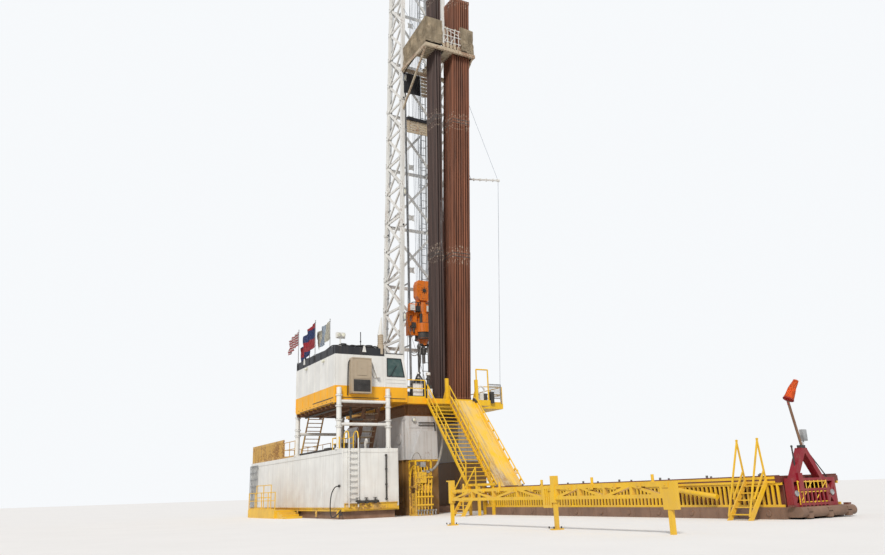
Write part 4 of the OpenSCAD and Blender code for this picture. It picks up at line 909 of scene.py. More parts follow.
class RIG_OT_cab_trim(bpy.types.Operator):
    """Makes the gaskets, frame strips, wiper and roof edge of the driller's cab"""

    bl_idname = "rig.cab_trim"
    bl_label = "Cab trim"

    def execute(self, context):
        lo, hi = low("cab_shell"), high("cab_shell")
        sill, lintel = 3.888, 4.42
        front = hi.x
        gasket = Shape()
        pane = [(front, -2.52, sill), (front, -1.96, sill), (front, -2.07, lintel), (front, -2.52, lintel)]
        for a, b in zip(pane, pane[1:] + pane[:1]):
            gasket.beam(a, b, 0.018, 0.02)
        gasket.beam((front + 0.012, -2.40, sill + 0.03), (front + 0.012, -2.22, sill + 0.33), 0.012)
        gasket.rod((front, -2.40, sill + 0.02), (front + 0.02, -2.40, sill + 0.02), 0.022)
        for x in (1.21, 2.37):
            gasket.beam((x, hi.y - 0.002, sill), (x, hi.y - 0.092, lintel), 0.016, 0.018)
        gasket.beam((1.21, hi.y - 0.002, sill), (2.37, hi.y - 0.002, sill), 0.016, 0.018)
        gasket.beam((1.21, hi.y - 0.092, lintel), (2.37, hi.y - 0.092, lintel), 0.016, 0.018)
        gasket.box((lo.x - 0.012, lo.y + 0.02, hi.z - 0.004), (hi.x + 0.014, -1.99, hi.z + 0.016))
        gasket.box((front, lo.y + 0.06, 3.245), (front + 0.008, hi.y - 0.06, 3.262))
        gasket.done("cab_gaskets", "black_paint")

        strips = Shape()
        for a, b in (((front, lo.y + 0.02, lo.z), (front, lo.y + 0.02, hi.z)),
                     ((front, hi.y - 0.012, lo.z), (front, hi.y - 0.012, sill - 0.04)),
                     ((front, hi.y - 0.012, sill - 0.04), (front, -2.01, hi.z))):
            strips.beam(a, b, 0.022, 0.03)
        for z in (3.70, 3.80):
            strips.box((front - 0.002, lo.y + 0.05, z), (front + 0.01, hi.y - 0.04, z + 0.012))
        strips.box((1.6, hi.y - 0.002, 3.3), (2.0, hi.y + 0.006, 3.34))
        for y in spread(lo.y + 0.1, hi.y - 0.1, 5):
            strips.rod((front, y, 3.20), (front + 0.012, y, 3.20), 0.011, 6)
        strips.done("cab_strips", "white_paint", look="cab_white")
        return {"FINISHED"}


class RIG_OT_roof_fittings(bpy.types.Operator):
    """Makes the cables, floodlight, aerial, vent and lifting lugs of the doghouse roof"""

    bl_idname = "rig.roof_fittings"
    bl_label = "Roof fittings"

    def execute(self, context):
        rng = random.Random(41)
        lo, hi = HOUSE_LOW, HOUSE_HIGH
        top = hi.z
        mast_x, lamp_y, aerial_y, vent_y = 2.40, -3.94, -3.31, -2.68
        cables = Shape()
        for k in range(5):
            offset = 0.05 + 0.026 * k
            path = [(lo.x + 0.1, lo.y + offset, top)]
            path += [(x, lo.y + offset + rng.uniform(-0.02, 0.02), top + rng.uniform(0.005, 0.05))
                     for x in spread(lo.x + 0.35, hi.x - 0.25, 12)]
            path += [(hi.x - offset, lo.y + 0.18, top + 0.02)]
            path += [(hi.x - offset + rng.uniform(-0.02, 0.02), y, top + rng.uniform(0.005, 0.06))
                     for y in spread(lo.y + 0.4, hi.y - 0.25, 8)]
            path += [(hi.x - offset, hi.y - 0.08, top)]
            cables.tube(smooth(path, 3), rng.uniform(0.010, 0.019), 6)
        for y in (-3.86, -3.05):
            cables.ring((hi.x - 0.1, y, top + 0.04), (0.2, 0.1, 1), 0.10, 0.017)
            cables.ring((hi.x - 0.11, y + 0.01, top + 0.075), (0.3, -0.1, 1), 0.09, 0.017)
        cables.done("roof_cables", "black_paint", look="rubber", smooth=True)

        rim = Shape()
        for x in spread(lo.x + 0.15, hi.x - 0.15, 7):
            rim.box((x - 0.02, lo.y - 0.01, WALL_TOP + 0.01), (x + 0.02, lo.y + 0.002, top - 0.03))
        for y in spread(lo.y + 0.15, hi.y - 0.15, 4):
            rim.box((hi.x - 0.002, y - 0.02, WALL_TOP + 0.01), (hi.x + 0.01, y + 0.02, top - 0.03))
        rim.rod((mast_x, aerial_y, top - 0.02), (mast_x, aerial_y, 5.16), 0.013, 10)
        rim.rod((mast_x, aerial_y, 4.86), (mast_x, aerial_y, 4.90), 0.022, 10)
        rim.box((0.2, -3.5, top - 0.17), (0.9, -3.1, top + 0.10))
        rim.done("roof_aerial", "black_paint")

        lamp = Shape()
        lamp.rod((mast_x, lamp_y, top - 0.03), (mast_x, lamp_y, 4.96), 0.022, 12)
        lamp.box((2.33, -4.01, top - 0.03), (2.46, -3.87, top + 0.015))
        lamp.box((2.34, -4.06, 4.955), (2.44, -3.80, 5.10))
        for y in (-3.995, -3.865):
            lamp.rod((2.44, y, 5.03), (2.475, y, 5.025), 0.055, 16, 0.062)
        lamp.beam((2.39, -4.065, 4.93), (2.39, -4.065, 5.06), 0.012)
        lamp.beam((2.39, -3.795, 4.93), (2.39, -3.795, 5.06), 0.012)
        lamp.beam((2.39, -4.07, 4.935), (2.39, -3.79, 4.935), 0.014)
        lamp.plate([(hi.x, -3.30, 4.56), (hi.x, -3.18, 4.56), (hi.x, -3.22, 4.745), (hi.x, -3.26, 4.745)],
            (0.02, 0, 0))
        lamp.plate([(-0.2, lo.y, 4.56), (-0.08, lo.y, 4.56), (-0.12, lo.y, 4.745), (-0.16, lo.y, 4.745)],
            (0, -0.02, 0))
        lamp.done("roof_floodlight", "white_paint")

        lens = Shape()
        for y in (-3.995, -3.865):
            lens.dome((2.475, y, 5.025), 0.054, (0.3, 1.0, 1.0))
        lens.done("roof_floodlight_lens", "white_paint", look="lamp_glass", smooth=True)

        vent = Shape()
        vent.rod((mast_x, vent_y, top - 0.17), (mast_x, vent_y, top + 0.12), 0.10, 20)
        vent.rod((mast_x, vent_y, top + 0.12), (mast_x, vent_y, 5.12), 0.082, 20)
        for z in spread(top + 0.16, 5.09, 5):
            vent.ring((mast_x, vent_y, z), (0, 0, 1), 0.083, 0.008)
        vent.done("roof_vent", "tan_paint")
        cone = Shape()
        cone.rod((2.39, -2.69, 5.11), (2.53, -2.70, 5.62), 0.075, 16, 0.018)
        cone.ring((2.39, -2.69, 5.125), (0.25, 0, 1), 0.075, 0.01)
        cone.done("roof_vent_cone", "white_paint", smooth=True)
        return {"FINISHED"}


class RIG_OT_flags(bpy.types.Operator):
    """Makes the flags along the near edge of the doghouse roof, each on its pole"""

    bl_idname = "rig.flags"
    bl_label = "Flags"

    def execute(self, context):
        foot = HOUSE_HIGH.z - 0.20
        rows = (
            (-0.86, 5.80, "flag_stripes", 1.20, 0.44, 0.14, 0.75),
            (-0.42, 5.62, "flag_blue", 0.90, 0.64, 0.26, 1.0),
            (0.72, 5.78, "flag_blue", 1.25, 0.76, 0.26, 1.25),
            (1.40, 5.70, "flag_pale", 1.15, 0.56, 0.12, 1.2),
        )
        for k, (x, top, look, length, width, sag, wave) in enumerate(rows):
            y = HOUSE_LOW.y + (0.03, 0.25)[k % 2]
            pole = Shape()
            pole.rod((x, y, foot), (x, y, top), 0.014, 10, 0.009)
            pole.dome((x, y, top + 0.012), 0.018)
            pole.box((x - 0.03, y - 0.03, foot), (x + 0.03, y + 0.03, foot + 0.24))
            for z in (top - 0.05, top - width):
                pole.ring((x, y, z), (0, 0, 1), 0.02, 0.005, 12)
            pole.done(f"flag_pole_{k + 1}", "white_paint", look="galvanised")
            cloth(
                f"flag_{k + 1}", (x - 0.016, y, top - 0.04), (-1, 0.01, -0.04), (0.06, 0, -1),
                (width, length),
                ((0.045, wave * 0.42, 0.3), (0.014, wave * 0.17, -0.5)), look, "hung",
                0.003,
                sag=sag, gather=(0.85, 0.87, 0.90, 0.90)[k], seed=50 + k)
        return {"FINISHED"}


class RIG_OT_hvac_trim(bpy.types.Operator):
    """Makes the grille, fan, hood and pipes of the air conditioner"""

    bl_idname = "rig.hvac_trim"
    bl_label = "Air conditioner trim"

    def execute(self, context):
        lo, hi = low("hvac_unit"), high("hvac_unit")
        face = hi.x
        grille = Shape()
        y0, y1, z0, z1 = lo.y + 0.04, hi.y - 0.03, lo.z + 0.05, lo.z + 0.37
        for z in spread(z0 + 0.02, z1 - 0.02, 11):
            grille.box((face - 0.002, y0, z - 0.006), (face + 0.012, y1, z + 0.006))
        grille.box((face - 0.002, y0, z0 - 0.01), (face + 0.004, y1, z1 + 0.01))
        grille.done("hvac_grille", "black_paint", look="dark_metal")
        trim = Shape()
        for z in (lo.z + 0.41, hi.z - 0.03):
            trim.box((face - 0.002, lo.y, z), (face + 0.012, hi.y, z + 0.02))
        for y in (lo.y, hi.y):
            trim.box((face - 0.012, y - 0.008, lo.z), (face + 0.01, y + 0.008, hi.z))
        trim.box((face - 0.002, lo.y + 0.14, lo.z + 0.5), (face + 0.014, hi.y - 0.14, hi.z - 0.12))
        trim.rod((face, (lo.y + hi.y) / 2, hi.z - 0.30), (face + 0.02, (lo.y + hi.y) / 2, hi.z - 0.30), 0.03)
        for y in (lo.y + 0.04, hi.y - 0.04):
            for z in spread(lo.z + 0.45, hi.z - 0.06, 4):
                trim.rod((face, y, z), (face + 0.012, y, z), 0.010, 6)
        trim.done("hvac_panel", "tan_paint")
        wall = HOUSE_HIGH.x
        hood = Shape()
        hood.plate([
            (wall, -3.06, 4.33), (wall, -2.97, 4.33), (wall, -2.79, 3.83), (wall, -2.88, 3.83)], (0.10, 0, 0))
        hood.plate([
            (wall, -3.06, 4.33), (wall, -3.06, 4.16), (wall, -2.95, 3.83), (wall, -2.88, 3.83)], (0.03, 0, 0))
        hood.done("hvac_hood", "white_paint")
        pipes = Shape()
        for y in (-3.76, -3.74):
            pipes.tube(smooth([(wall + 0.02, y, 3.30), (wall + 0.03, y, 3.7), (wall + 0.02, y + 0.02, 4.2),
                               (wall + 0.08, y + 0.06, 4.30)], 4), 0.008, 6)
        pipes.done("hvac_pipes", "black_paint", look="rubber")
        return {"FINISHED"}


class RIG_OT_underside(bpy.types.Operator):
    """Makes the joists and pipes under the doghouse and the stair from the tank up to it"""

    bl_idname = "rig.underside"
    bl_label = "Doghouse underside"

    def execute(self, context):
        sizes = context.scene.rig_sizes
        lo, hi = HOUSE_LOW, HOUSE_HIGH
        joists = Shape()
        count = round((hi.x - lo.x) / sizes.joist_pitch) + 1
        for x in spread(lo.x + 0.06, hi.x - 0.06, count):
            joists.box((x - 0.03, lo.y + 0.02, lo.z - 0.008), (x + 0.03, hi.y - 0.03, lo.z + 0.004))
            joists.box((x - 0.006, lo.y + 0.02, lo.z - 0.085), (x + 0.006, hi.y - 0.03, lo.z))
            joists.box((x - 0.03, lo.y + 0.02, lo.z - 0.093), (x + 0.03, hi.y - 0.03, lo.z - 0.083))
        joists.box((lo.x + 0.02, -3.36, lo.z - 0.13), (hi.x - 0.02, -3.33, lo.z - 0.09))
        joists.done("house_joists", "brown_paint")

        pipes = Shape()
        pipes.tube(smooth([(hi.x - 0.25, -3.55, lo.z - 0.08), (hi.x - 0.25, -3.55, 2.72),
                           (hi.x - 0.22, -3.5, 2.66), (hi.x - 0.2, -3.2, 2.66)], 4), 0.032, 10)
        pipes.tube([(lo.x + 0.3, -3.9, lo.z - 0.13), (hi.x - 0.15, -3.9, lo.z - 0.13)], 0.03, 10)
        pipes.tube([(lo.x + 0.3, -2.9, lo.z - 0.13), (hi.x - 0.15, -2.9, lo.z - 0.13)], 0.022, 10)
        pipes.rod((hi.x - 0.25, -3.55, 2.84), (hi.x - 0.25, -3.55, 2.90), 0.055)
        pipes.done("house_pipes", "black_paint", look="dark_metal")

        foot, head = (1.27, TANK_HIGH.z), (1.93, lo.z)
        near, far = -2.98, -2.54
        steps = Shape()
        for share in spread(0.08, 0.96, 8):
            x = foot[0] + (head[0] - foot[0]) * share
            z = foot[1] + (head[1] - foot[1]) * share
            steps.box((x - 0.07, near + 0.015, z - 0.015), (x + 0.07, far - 0.015, z))
            steps.box((x - 0.07, near + 0.015, z - 0.035), (x - 0.06, far - 0.015, z))
        steps.done("house_stair_treads", "tan_paint", look="board_paint")
        strings = Shape()
        for y in (near, far):
            strings.beam((foot[0], y, foot[1]), (head[0], y, head[1]), 0.12, 0.02)
            strings.rod((foot[0] - 0.02, y, foot[1] + 0.5), (head[0] - 0.12, y, lo.z - 0.12), 0.013, 8)
            for share in (0.04, 0.35, 0.66):
                x = foot[0] + (head[0] - foot[0]) * share
                z = foot[1] + (head[1] - foot[1]) * share
                strings.rod((x, y, z), (x - 0.02, y, z + 0.5), 0.012, 8)
        strings.done("house_stair_frame", "brown_paint")
        return {"FINISHED"}


class RIG_OT_posts_trim(bpy.types.Operator):
    """Makes the flanges, clamps and braces of the doghouse's jacking posts"""

    bl_idname = "rig.posts_trim"
    bl_label = "Post trim"

    def execute(self, context):
        base = TANK_HIGH.z
        flanges = Shape()
        bolts = Shape()
        for x in ((low(node).x + high(node).x) / 2 for node in ("posts_front", "posts_rear")):
            for y in (-4.03, -2.54):
                for z, r in ((base, 0.11), (2.42, 0.10), (2.60, 0.10), (2.98, 0.095), (3.28, 0.095)):
                    flanges.rod((x, y, z), (x, y, z + 0.03), r, 20)
                    bolts.bolts((x, y, z + 0.03), (0, 0, 1), r - 0.02, 8)
                flanges.dome((x, y, 3.5), 0.072, (1, 1, 0.35))
                for turn in (0.4, 2.5, 4.6):
                    out = Vector((math.cos(turn), math.sin(turn), 0)) * 0.105
                    foot = Vector((x, y, base + 0.02))
                    flanges.plate([foot, foot + out, foot + Vector((0, 0, 0.16))],
                        Vector((-out.y, out.x, 0)) * 0.1)
        flanges.done("post_flanges", "white_paint", smooth=True)
        bolts.done("post_bolts", "bare_steel", look="dark_metal")
        return {"FINISHED"}


class RIG_OT_tank_trim(bpy.types.Operator):
    """Makes the seams, valves, pipes, channels and lattice frame on the water tank's walls"""

    bl_idname = "rig.tank_trim"
    bl_label = "Tank trim"

    def execute(self, context):
        lo, hi = TANK_LOW, TANK_HIGH
        ribs = Shape()
        for x in spread(lo.x + 0.25, hi.x - 0.55, 9):
            ribs.box((x - 0.02, lo.y - 0.005, SHELL_LOW), (x + 0.02, lo.y + 0.002, 1.79))
            ribs.box((x - 0.025, hi.y - 0.002, SHELL_LOW), (x + 0.025, hi.y + 0.012, 1.79))
        for y in (lo.y + 0.015, lo.y + 0.135, hi.y - 0.03):
            ribs.box((hi.x - 0.002, y - 0.008, SHELL_LOW), (hi.x + 0.010, y + 0.008, 1.79))
        for y in spread(lo.y + 0.1, hi.y - 0.1, 4):
            ribs.box((lo.x, y - 0.02, SHELL_LOW), (lo.x + 0.002, y + 0.02, 1.79))
        ribs.box((lo.x, lo.y - 0.015, 1.70), (hi.x, lo.y + 0.002, 1.73))
        ribs.box((hi.x - 0.002, lo.y + 0.02, 1.715), (hi.x + 0.010, hi.y - 0.02, 1.735))
        ribs.done("tank_ribs", "white_paint", look="tank_white")

        pipe = Shape()
        x = hi.x + 0.03
        pipe.rod((x, -2.83, 0.45), (x, -2.83, 1.66), 0.022, 10)
        for z in (0.47, 0.85, 1.25, 1.62):
            pipe.rod((x, -2.83, z), (x, -2.83, z + 0.03), 0.036, 10)
            pipe.box((hi.x, -2.85, z), (x, -2.81, z + 0.02))
        pipe.done("tank_gauge_pipe", "brown_paint", look="dark_metal")

        valves = Shape()
        valves.rod((x, -3.72, 0.43), (x, -3.06, 0.43), 0.034, 12)
        for y in (-3.66, -3.42, -3.16):
            valves.rod((hi.x - 0.01, y, 0.43), (x + 0.06, y, 0.43), 0.028, 12)
            valves.rod((x + 0.05, y, 0.43), (x + 0.07, y, 0.43), 0.05, 14)
            valves.rod((x, y, 0.43), (x, y, 0.53), 0.014, 8)
            valves.ring((x, y, 0.53), (0, 0, 1), 0.045, 0.007, 16)
            valves.beam((x, y - 0.045, 0.53), (x, y + 0.045, 0.53), 0.008)
            valves.dome((x, y, 0.43), 0.052)
        valves.rod((2.85, lo.y - 0.05, 0.85), (2.85, lo.y + 0.01, 0.85), 0.035, 12)
        valves.rod((2.98, lo.y - 0.06, 0.13), (2.98, lo.y + 0.01, 0.13), 0.03, 12)
        valves.done("tank_valves", "bare_steel", look="dark_metal", smooth=True)

        channel = Shape()
        channel.box((hi.x - 0.002, lo.y + 0.06, 0.24), (hi.x + 0.035, hi.y - 0.05, 0.255))
        channel.box((hi.x - 0.002, lo.y + 0.06, 0.39), (hi.x + 0.035, hi.y - 0.05, 0.405))
        channel.box((hi.x - 0.002, lo.y + 0.06, 0.24), (hi.x + 0.006, hi.y - 0.05, 0.405))
        channel.box((lo.x + 0.02, lo.y - 0.03, 0.275), (hi.x - 0.02, lo.y + 0.002, 0.295))
        for x_lug in spread(lo.x + 0.4, hi.x - 0.3, 6):
            channel.ring((x_lug, lo.y - 0.01, 0.16), (0, 1, 0), 0.045, 0.011, 16)
            channel.box((x_lug - 0.05, lo.y - 0.014, 0.05), (x_lug + 0.05, lo.y + 0.002, 0.25))
        channel.done("tank_channels", "yellow_paint", look="dirty_yellow")

        lattice = Shape()
        a, b, z0, z1 = lo.x + 0.02, lo.x + 0.95, 0.32, 1.72
        y = lo.y - 0.03
        for x_bar in spread(a, b, 6):
            lattice.box((x_bar - 0.012, y - 0.012, z0), (x_bar + 0.012, y + 0.012, z1))
        for z in spread(z0, z1, 7):
            lattice.box((a, y - 0.012, z - 0.012), (b, y + 0.012, z + 0.012))
        for x_bar in (a, b):
            for z in (z0 + 0.1, z1 - 0.1):
                lattice.box((x_bar - 0.015, y, z - 0.02), (x_bar + 0.015, lo.y + 0.003, z + 0.02))
        lattice.done("tank_lattice", "bare_steel", look="galvanised")

        rail = Shape()
        deck = 0.24
        near = low("rear_porch").y + 0.04
        for x_post in spread(-3.0, -1.4, 3):
            rail.rod((x_post, near, deck), (x_post, near, 1.0), 0.014, 8)
        for z in (0.62, 0.99):
            rail.rod((-3.0, near, z), (-1.4, near, z), 0.013, 8)
        rail.beam((-3.0, near, deck + 0.03), (-1.4, near, deck + 0.03), 0.01, 0.06)
        rail.done("porch_rail", "yellow_paint")
        return {"FINISHED"}


class RIG_OT_tank_roof_trim(bpy.types.Operator):
    """Makes the rails, hoops, hatches and pipes on the water tank's roof"""

    bl_idname = "rig.tank_roof_trim"
    bl_label = "Tank roof trim"

    def execute(self, context):
        sizes = context.scene.rig_sizes
        lo, hi = TANK_LOW, TANK_HIGH
        top = hi.z
        hoops = Shape()
        for y in (-3.93, -3.66):
            hoops.tube(smooth([(3.06, y, 2.06), (3.0, y, 2.24), (2.86, y, 2.28), (2.72, y, 2.18),
                (2.70, y, top)], 4),
                       0.016, 8)
        for a, b in (((2.70, -3.66, 2.14), (2.15, -3.66, 2.14)), ((2.15, -3.66, 2.14), (2.15, -4.05, 2.14)),
                     ((2.15, -4.05, 2.14), (2.66, -4.05, 2.14)),
                     ((2.70, -3.66, top + 0.16), (2.15, -3.66, top + 0.16)),
                     ((2.15, -3.66, top), (2.15, -3.66, 2.14)), ((2.15, -4.05, top), (2.15, -4.05, 2.14)),
                     ((2.66, -4.05, top), (2.66, -4.05, 2.14)),
                     ((2.15, -4.05, top + 0.16), (2.66, -4.05, top + 0.16))):
            hoops.rod(a, b, 0.014, 8)
        hoops.done("tank_ladder_hoops", "yellow_paint", smooth=True)
        rail = Shape()
        rail.rails([(-2.2, -4.06, top), (-1.12, -4.06, top)], sizes, 0.50)
        rail.rails([(-5.95, -4.03, top), (-5.95, -2.5, top), (-2.1, -2.5, top)], sizes, 0.50)
        rail.done("tank_roof_rails", "yellow_paint", look="screen_yellow")
        lids = Shape()
        lid_y = -3.3
        for x in (-4.9, -3.1, 0.4):
            lids.rod((x, lid_y, top), (x, lid_y, top + 0.05), 0.24, 28)
            lids.rod((x, lid_y, top + 0.05), (x, lid_y, top + 0.075), 0.27, 28)
            lids.bolts((x, lid_y, top + 0.075), (0, 0, 1), 0.24, 12)
            lids.tube(smooth([(x - 0.1, lid_y, top + 0.07), (x - 0.08, lid_y, top + 0.14),
                (x + 0.08, lid_y, top + 0.14),
                              (x + 0.1, lid_y, top + 0.07)], 3), 0.012, 6)
        for x in (1.1, 2.0):
            lids.tube(smooth([(x, -3.0, top), (x, -3.0, top + 0.22), (x + 0.06, -3.0, top + 0.30),
                              (x + 0.12, -3.0, top + 0.20)], 4), 0.035, 10)
        lids.done("tank_hatches", "white_paint", look="tank_white")
        clutter = Shape()
        clutter.tube([(-0.9, -3.95, top + 0.05), (2.1, -3.95, top + 0.05)], 0.032, 10)
        clutter.tube([(-0.9, -3.86, top + 0.05), (2.1, -3.86, top + 0.05)], 0.022, 10)
        for x in spread(-0.7, 1.9, 5):
            clutter.box((x - 0.03, -4.0, top - 0.002), (x + 0.03, -3.82, top + 0.03))
        for x, y, z, size in ((2.35, -3.88, 0, 0.15), (1.5, -3.55, 0, 0.22), (-0.3, -3.2, 0, 0.2)):
            clutter.box((x - size, y - 0.12, top), (x + size, y + 0.12, top + size))
            clutter.box((x - size - 0.01, y - 0.13, top + size - 0.03),
                (x + size + 0.01, y + 0.13, top + size + 0.012))
        clutter.done("tank_roof_pipes", "brown_paint", look="dark_metal")
        return {"FINISHED"}


class RIG_OT_side_box_trim(bpy.types.Operator):
    """Makes the lugs, lamps, hatches and bolts of the substructure's side boxes"""

    bl_idname = "rig.side_box_trim"
    bl_label = "Side box trim"

    def execute(self, context):
        trim = Shape()
        for node, side in (("side_box_near", -1), ("side_box_far", 1)):
            lo, hi = low(node), high(node)
            face = lo.y if side < 0 else hi.y
            front = hi.x - (0.12 if side < 0 else 0.0)
            for x in spread(lo.x + 0.3, front - 0.2, 5):
                trim.box((x - 0.03, face - 0.012, 0.2), (x + 0.03, face + 0.012, hi.z - 0.1))
            trim.box((lo.x, face - 0.014, 1.53), (front, face + 0.014, 1.56))
            trim.box((lo.x, face - 0.014, hi.z - 0.12), (front, face + 0.014, hi.z - 0.08))
            for y in spread(lo.y + 0.12, hi.y - 0.12, 3):
                trim.box((front - 0.002, y - 0.025, 1.62), (front + 0.010, y + 0.025, hi.z - 0.1))
            for z in (1.75, 2.45):
                trim.box((front - 0.002, lo.y + 0.08, z), (front + 0.012, hi.y - 0.08, z + 0.03))
            for x in spread(lo.x + 0.5, front - 0.4, 3):
                trim.rod((x, face, 2.15), (x, face + side * 0.03, 2.15), 0.16, 24)
                trim.bolts((x, face + side * 0.03, 2.15), (0, side, 0), 0.135, 10)
            for x in (lo.x + 0.2, front - 0.25):
                trim.ring((x, face + side * 0.02, 0.42), (0, 1, 0), 0.06, 0.016, 16)
        trim.done("side_box_ribs", "white_paint", look="box_white_shaded")
        lo, hi = low("side_box_near"), high("side_box_near")
        lamp = Shape()
        front = hi.x - 0.12
        lamp_y, lamp_z = -1.57, 2.68
        lamp.rod((front - 0.002, lamp_y, lamp_z), (front + 0.05, lamp_y, lamp_z), 0.06, 18)
        lamp.ring((front + 0.05, lamp_y, lamp_z), (1, 0, 0), 0.055, 0.010, 18)
        lamp.done("side_box_lamp", "white_paint", look="galvanised")
        lens = Shape()
        lens.dome((front + 0.05, lamp_y, lamp_z), 0.05, (0.4, 1, 1))
        lens.done("side_box_lens", "white_paint", look="lamp_glass", smooth=True)
        pipes = Shape()
        for k, z in enumerate((2.52, 2.60)):
            pipes.tube(smooth([(front + 0.02, -0.86, 0.5), (front + 0.03, -0.86, 1.4),
                (front + 0.03, -0.88, z - 0.1),
                               (front + 0.03, -0.98, z), (front + 0.03, -1.42, z)], 4), 0.014, 8)
        for z in (0.7, 1.2, 2.2):
            pipes.box((front - 0.002, -0.89, z), (front + 0.035, -0.83, z + 0.03))
        for y in (-1.25, -0.95, 0.95, 1.3):
            pipes.box((lo.x, y - 0.05, 2.2), (lo.x + 0.002, y + 0.05, 2.4))
        pipes.done("side_box_pipes", "black_paint", look="dark_metal")
        return {"FINISHED"}


class RIG_OT_hydraulic_trim(bpy.types.Operator):
    """Makes the pipes, valves, wheel, tank and gauges of the hydraulic unit"""

    bl_idname = "rig.hydraulic_trim"
    bl_label = "Hydraulic unit trim"

    def execute(self, context):
        lo, hi = low("hydraulic_unit"), high("hydraulic_unit")
        x0, x1 = lo.x + 0.24, hi.x - 0.04
        y0, y1 = lo.y + 0.02, hi.y - 0.20
        pipes = Shape()
        for y in spread(y0 + 0.06, y1 - 0.05, 5):
            pipes.tube(smooth([(x1, y, 0.16), (x1 + 0.01, y, 0.55), (x1, y + 0.03, 0.92),
                (x1 - 0.05, y + 0.02, 1.30)],
                              4), 0.017, 8)
            pipes.rod((x1, y, 0.60), (x1, y, 0.66), 0.032, 10)
        for z in (0.28, 0.50, 1.02):
            pipes.tube([(x1 + 0.02, y0, z), (x1 + 0.02, y1, z)], 0.024, 10)
        pipes.tube(smooth([(x0, y0, 0.2), (x0 + 0.02, y0, 0.8), (x0 + 0.14, y0, 1.25), (x1, y0, 1.38)], 4),
            0.02)
        pipes.done("unit_pipes", "yellow_paint", smooth=True)
        wheel = Shape()
        wheel_y, wheel_z = -1.84, 0.77
        pump_y, pump_z = -1.60, 0.72
        wheel.ring((x1 + 0.02, wheel_y, wheel_z), (1, 0, 0), 0.085, 0.012, 24)
        for turn in (0.2, 1.3, 2.3):
            out = Vector((0, math.cos(turn), math.sin(turn))) * 0.085
            at = Vector((x1 + 0.02, wheel_y, wheel_z))
            wheel.beam(at - out, at + out, 0.012)
        wheel.rod((x1 - 0.10, wheel_y, wheel_z), (x1 + 0.035, wheel_y, wheel_z), 0.022, 12)
        wheel.rod((x0 + 0.10, pump_y, pump_z), (x1 - 0.02, pump_y, pump_z), 0.11, 20)
        wheel.rod((x0 + 0.05, pump_y, pump_z), (x0 + 0.10, pump_y, pump_z), 0.13, 20)
        wheel.rod((x1 - 0.02, pump_y, pump_z), (x1, pump_y, pump_z), 0.13, 20)
        wheel.bolts((x1, pump_y, pump_z), (1, 0, 0), 0.11, 10)
        for z in (0.9, 1.1):
            wheel.rod((x1 - 0.02, -1.50, z), (x1 + 0.03, -1.50, z), 0.04, 16)
        wheel.done("unit_wheel", "yellow_paint", look="dirty_yellow", smooth=True)
        fittings = Shape()
        for y in spread(y0 + 0.04, y1 + 0.08, 7):
            fittings.rod((x1 - 0.02, y, 0.14), (x1 + 0.035, y, 0.14), 0.026, 10)
            fittings.rod((x1, y, 0.02), (x1, y, 0.16), 0.015, 8)
        for y, z in ((-1.70, 1.18), (-1.58, 1.18), (-1.46, 1.22)):
            fittings.rod((x1 - 0.03, y, z), (x1 + 0.02, y, z), 0.038, 16)
            fittings.ring((x1 + 0.02, y, z), (1, 0, 0), 0.036, 0.005, 16)
        fittings.box((x0 + 0.02, -1.76, 1.30), (x1 - 0.03, -1.60, 1.44))
        fittings.done("unit_fittings", "white_paint", look="galvanised", smooth=True)
        return {"FINISHED"}


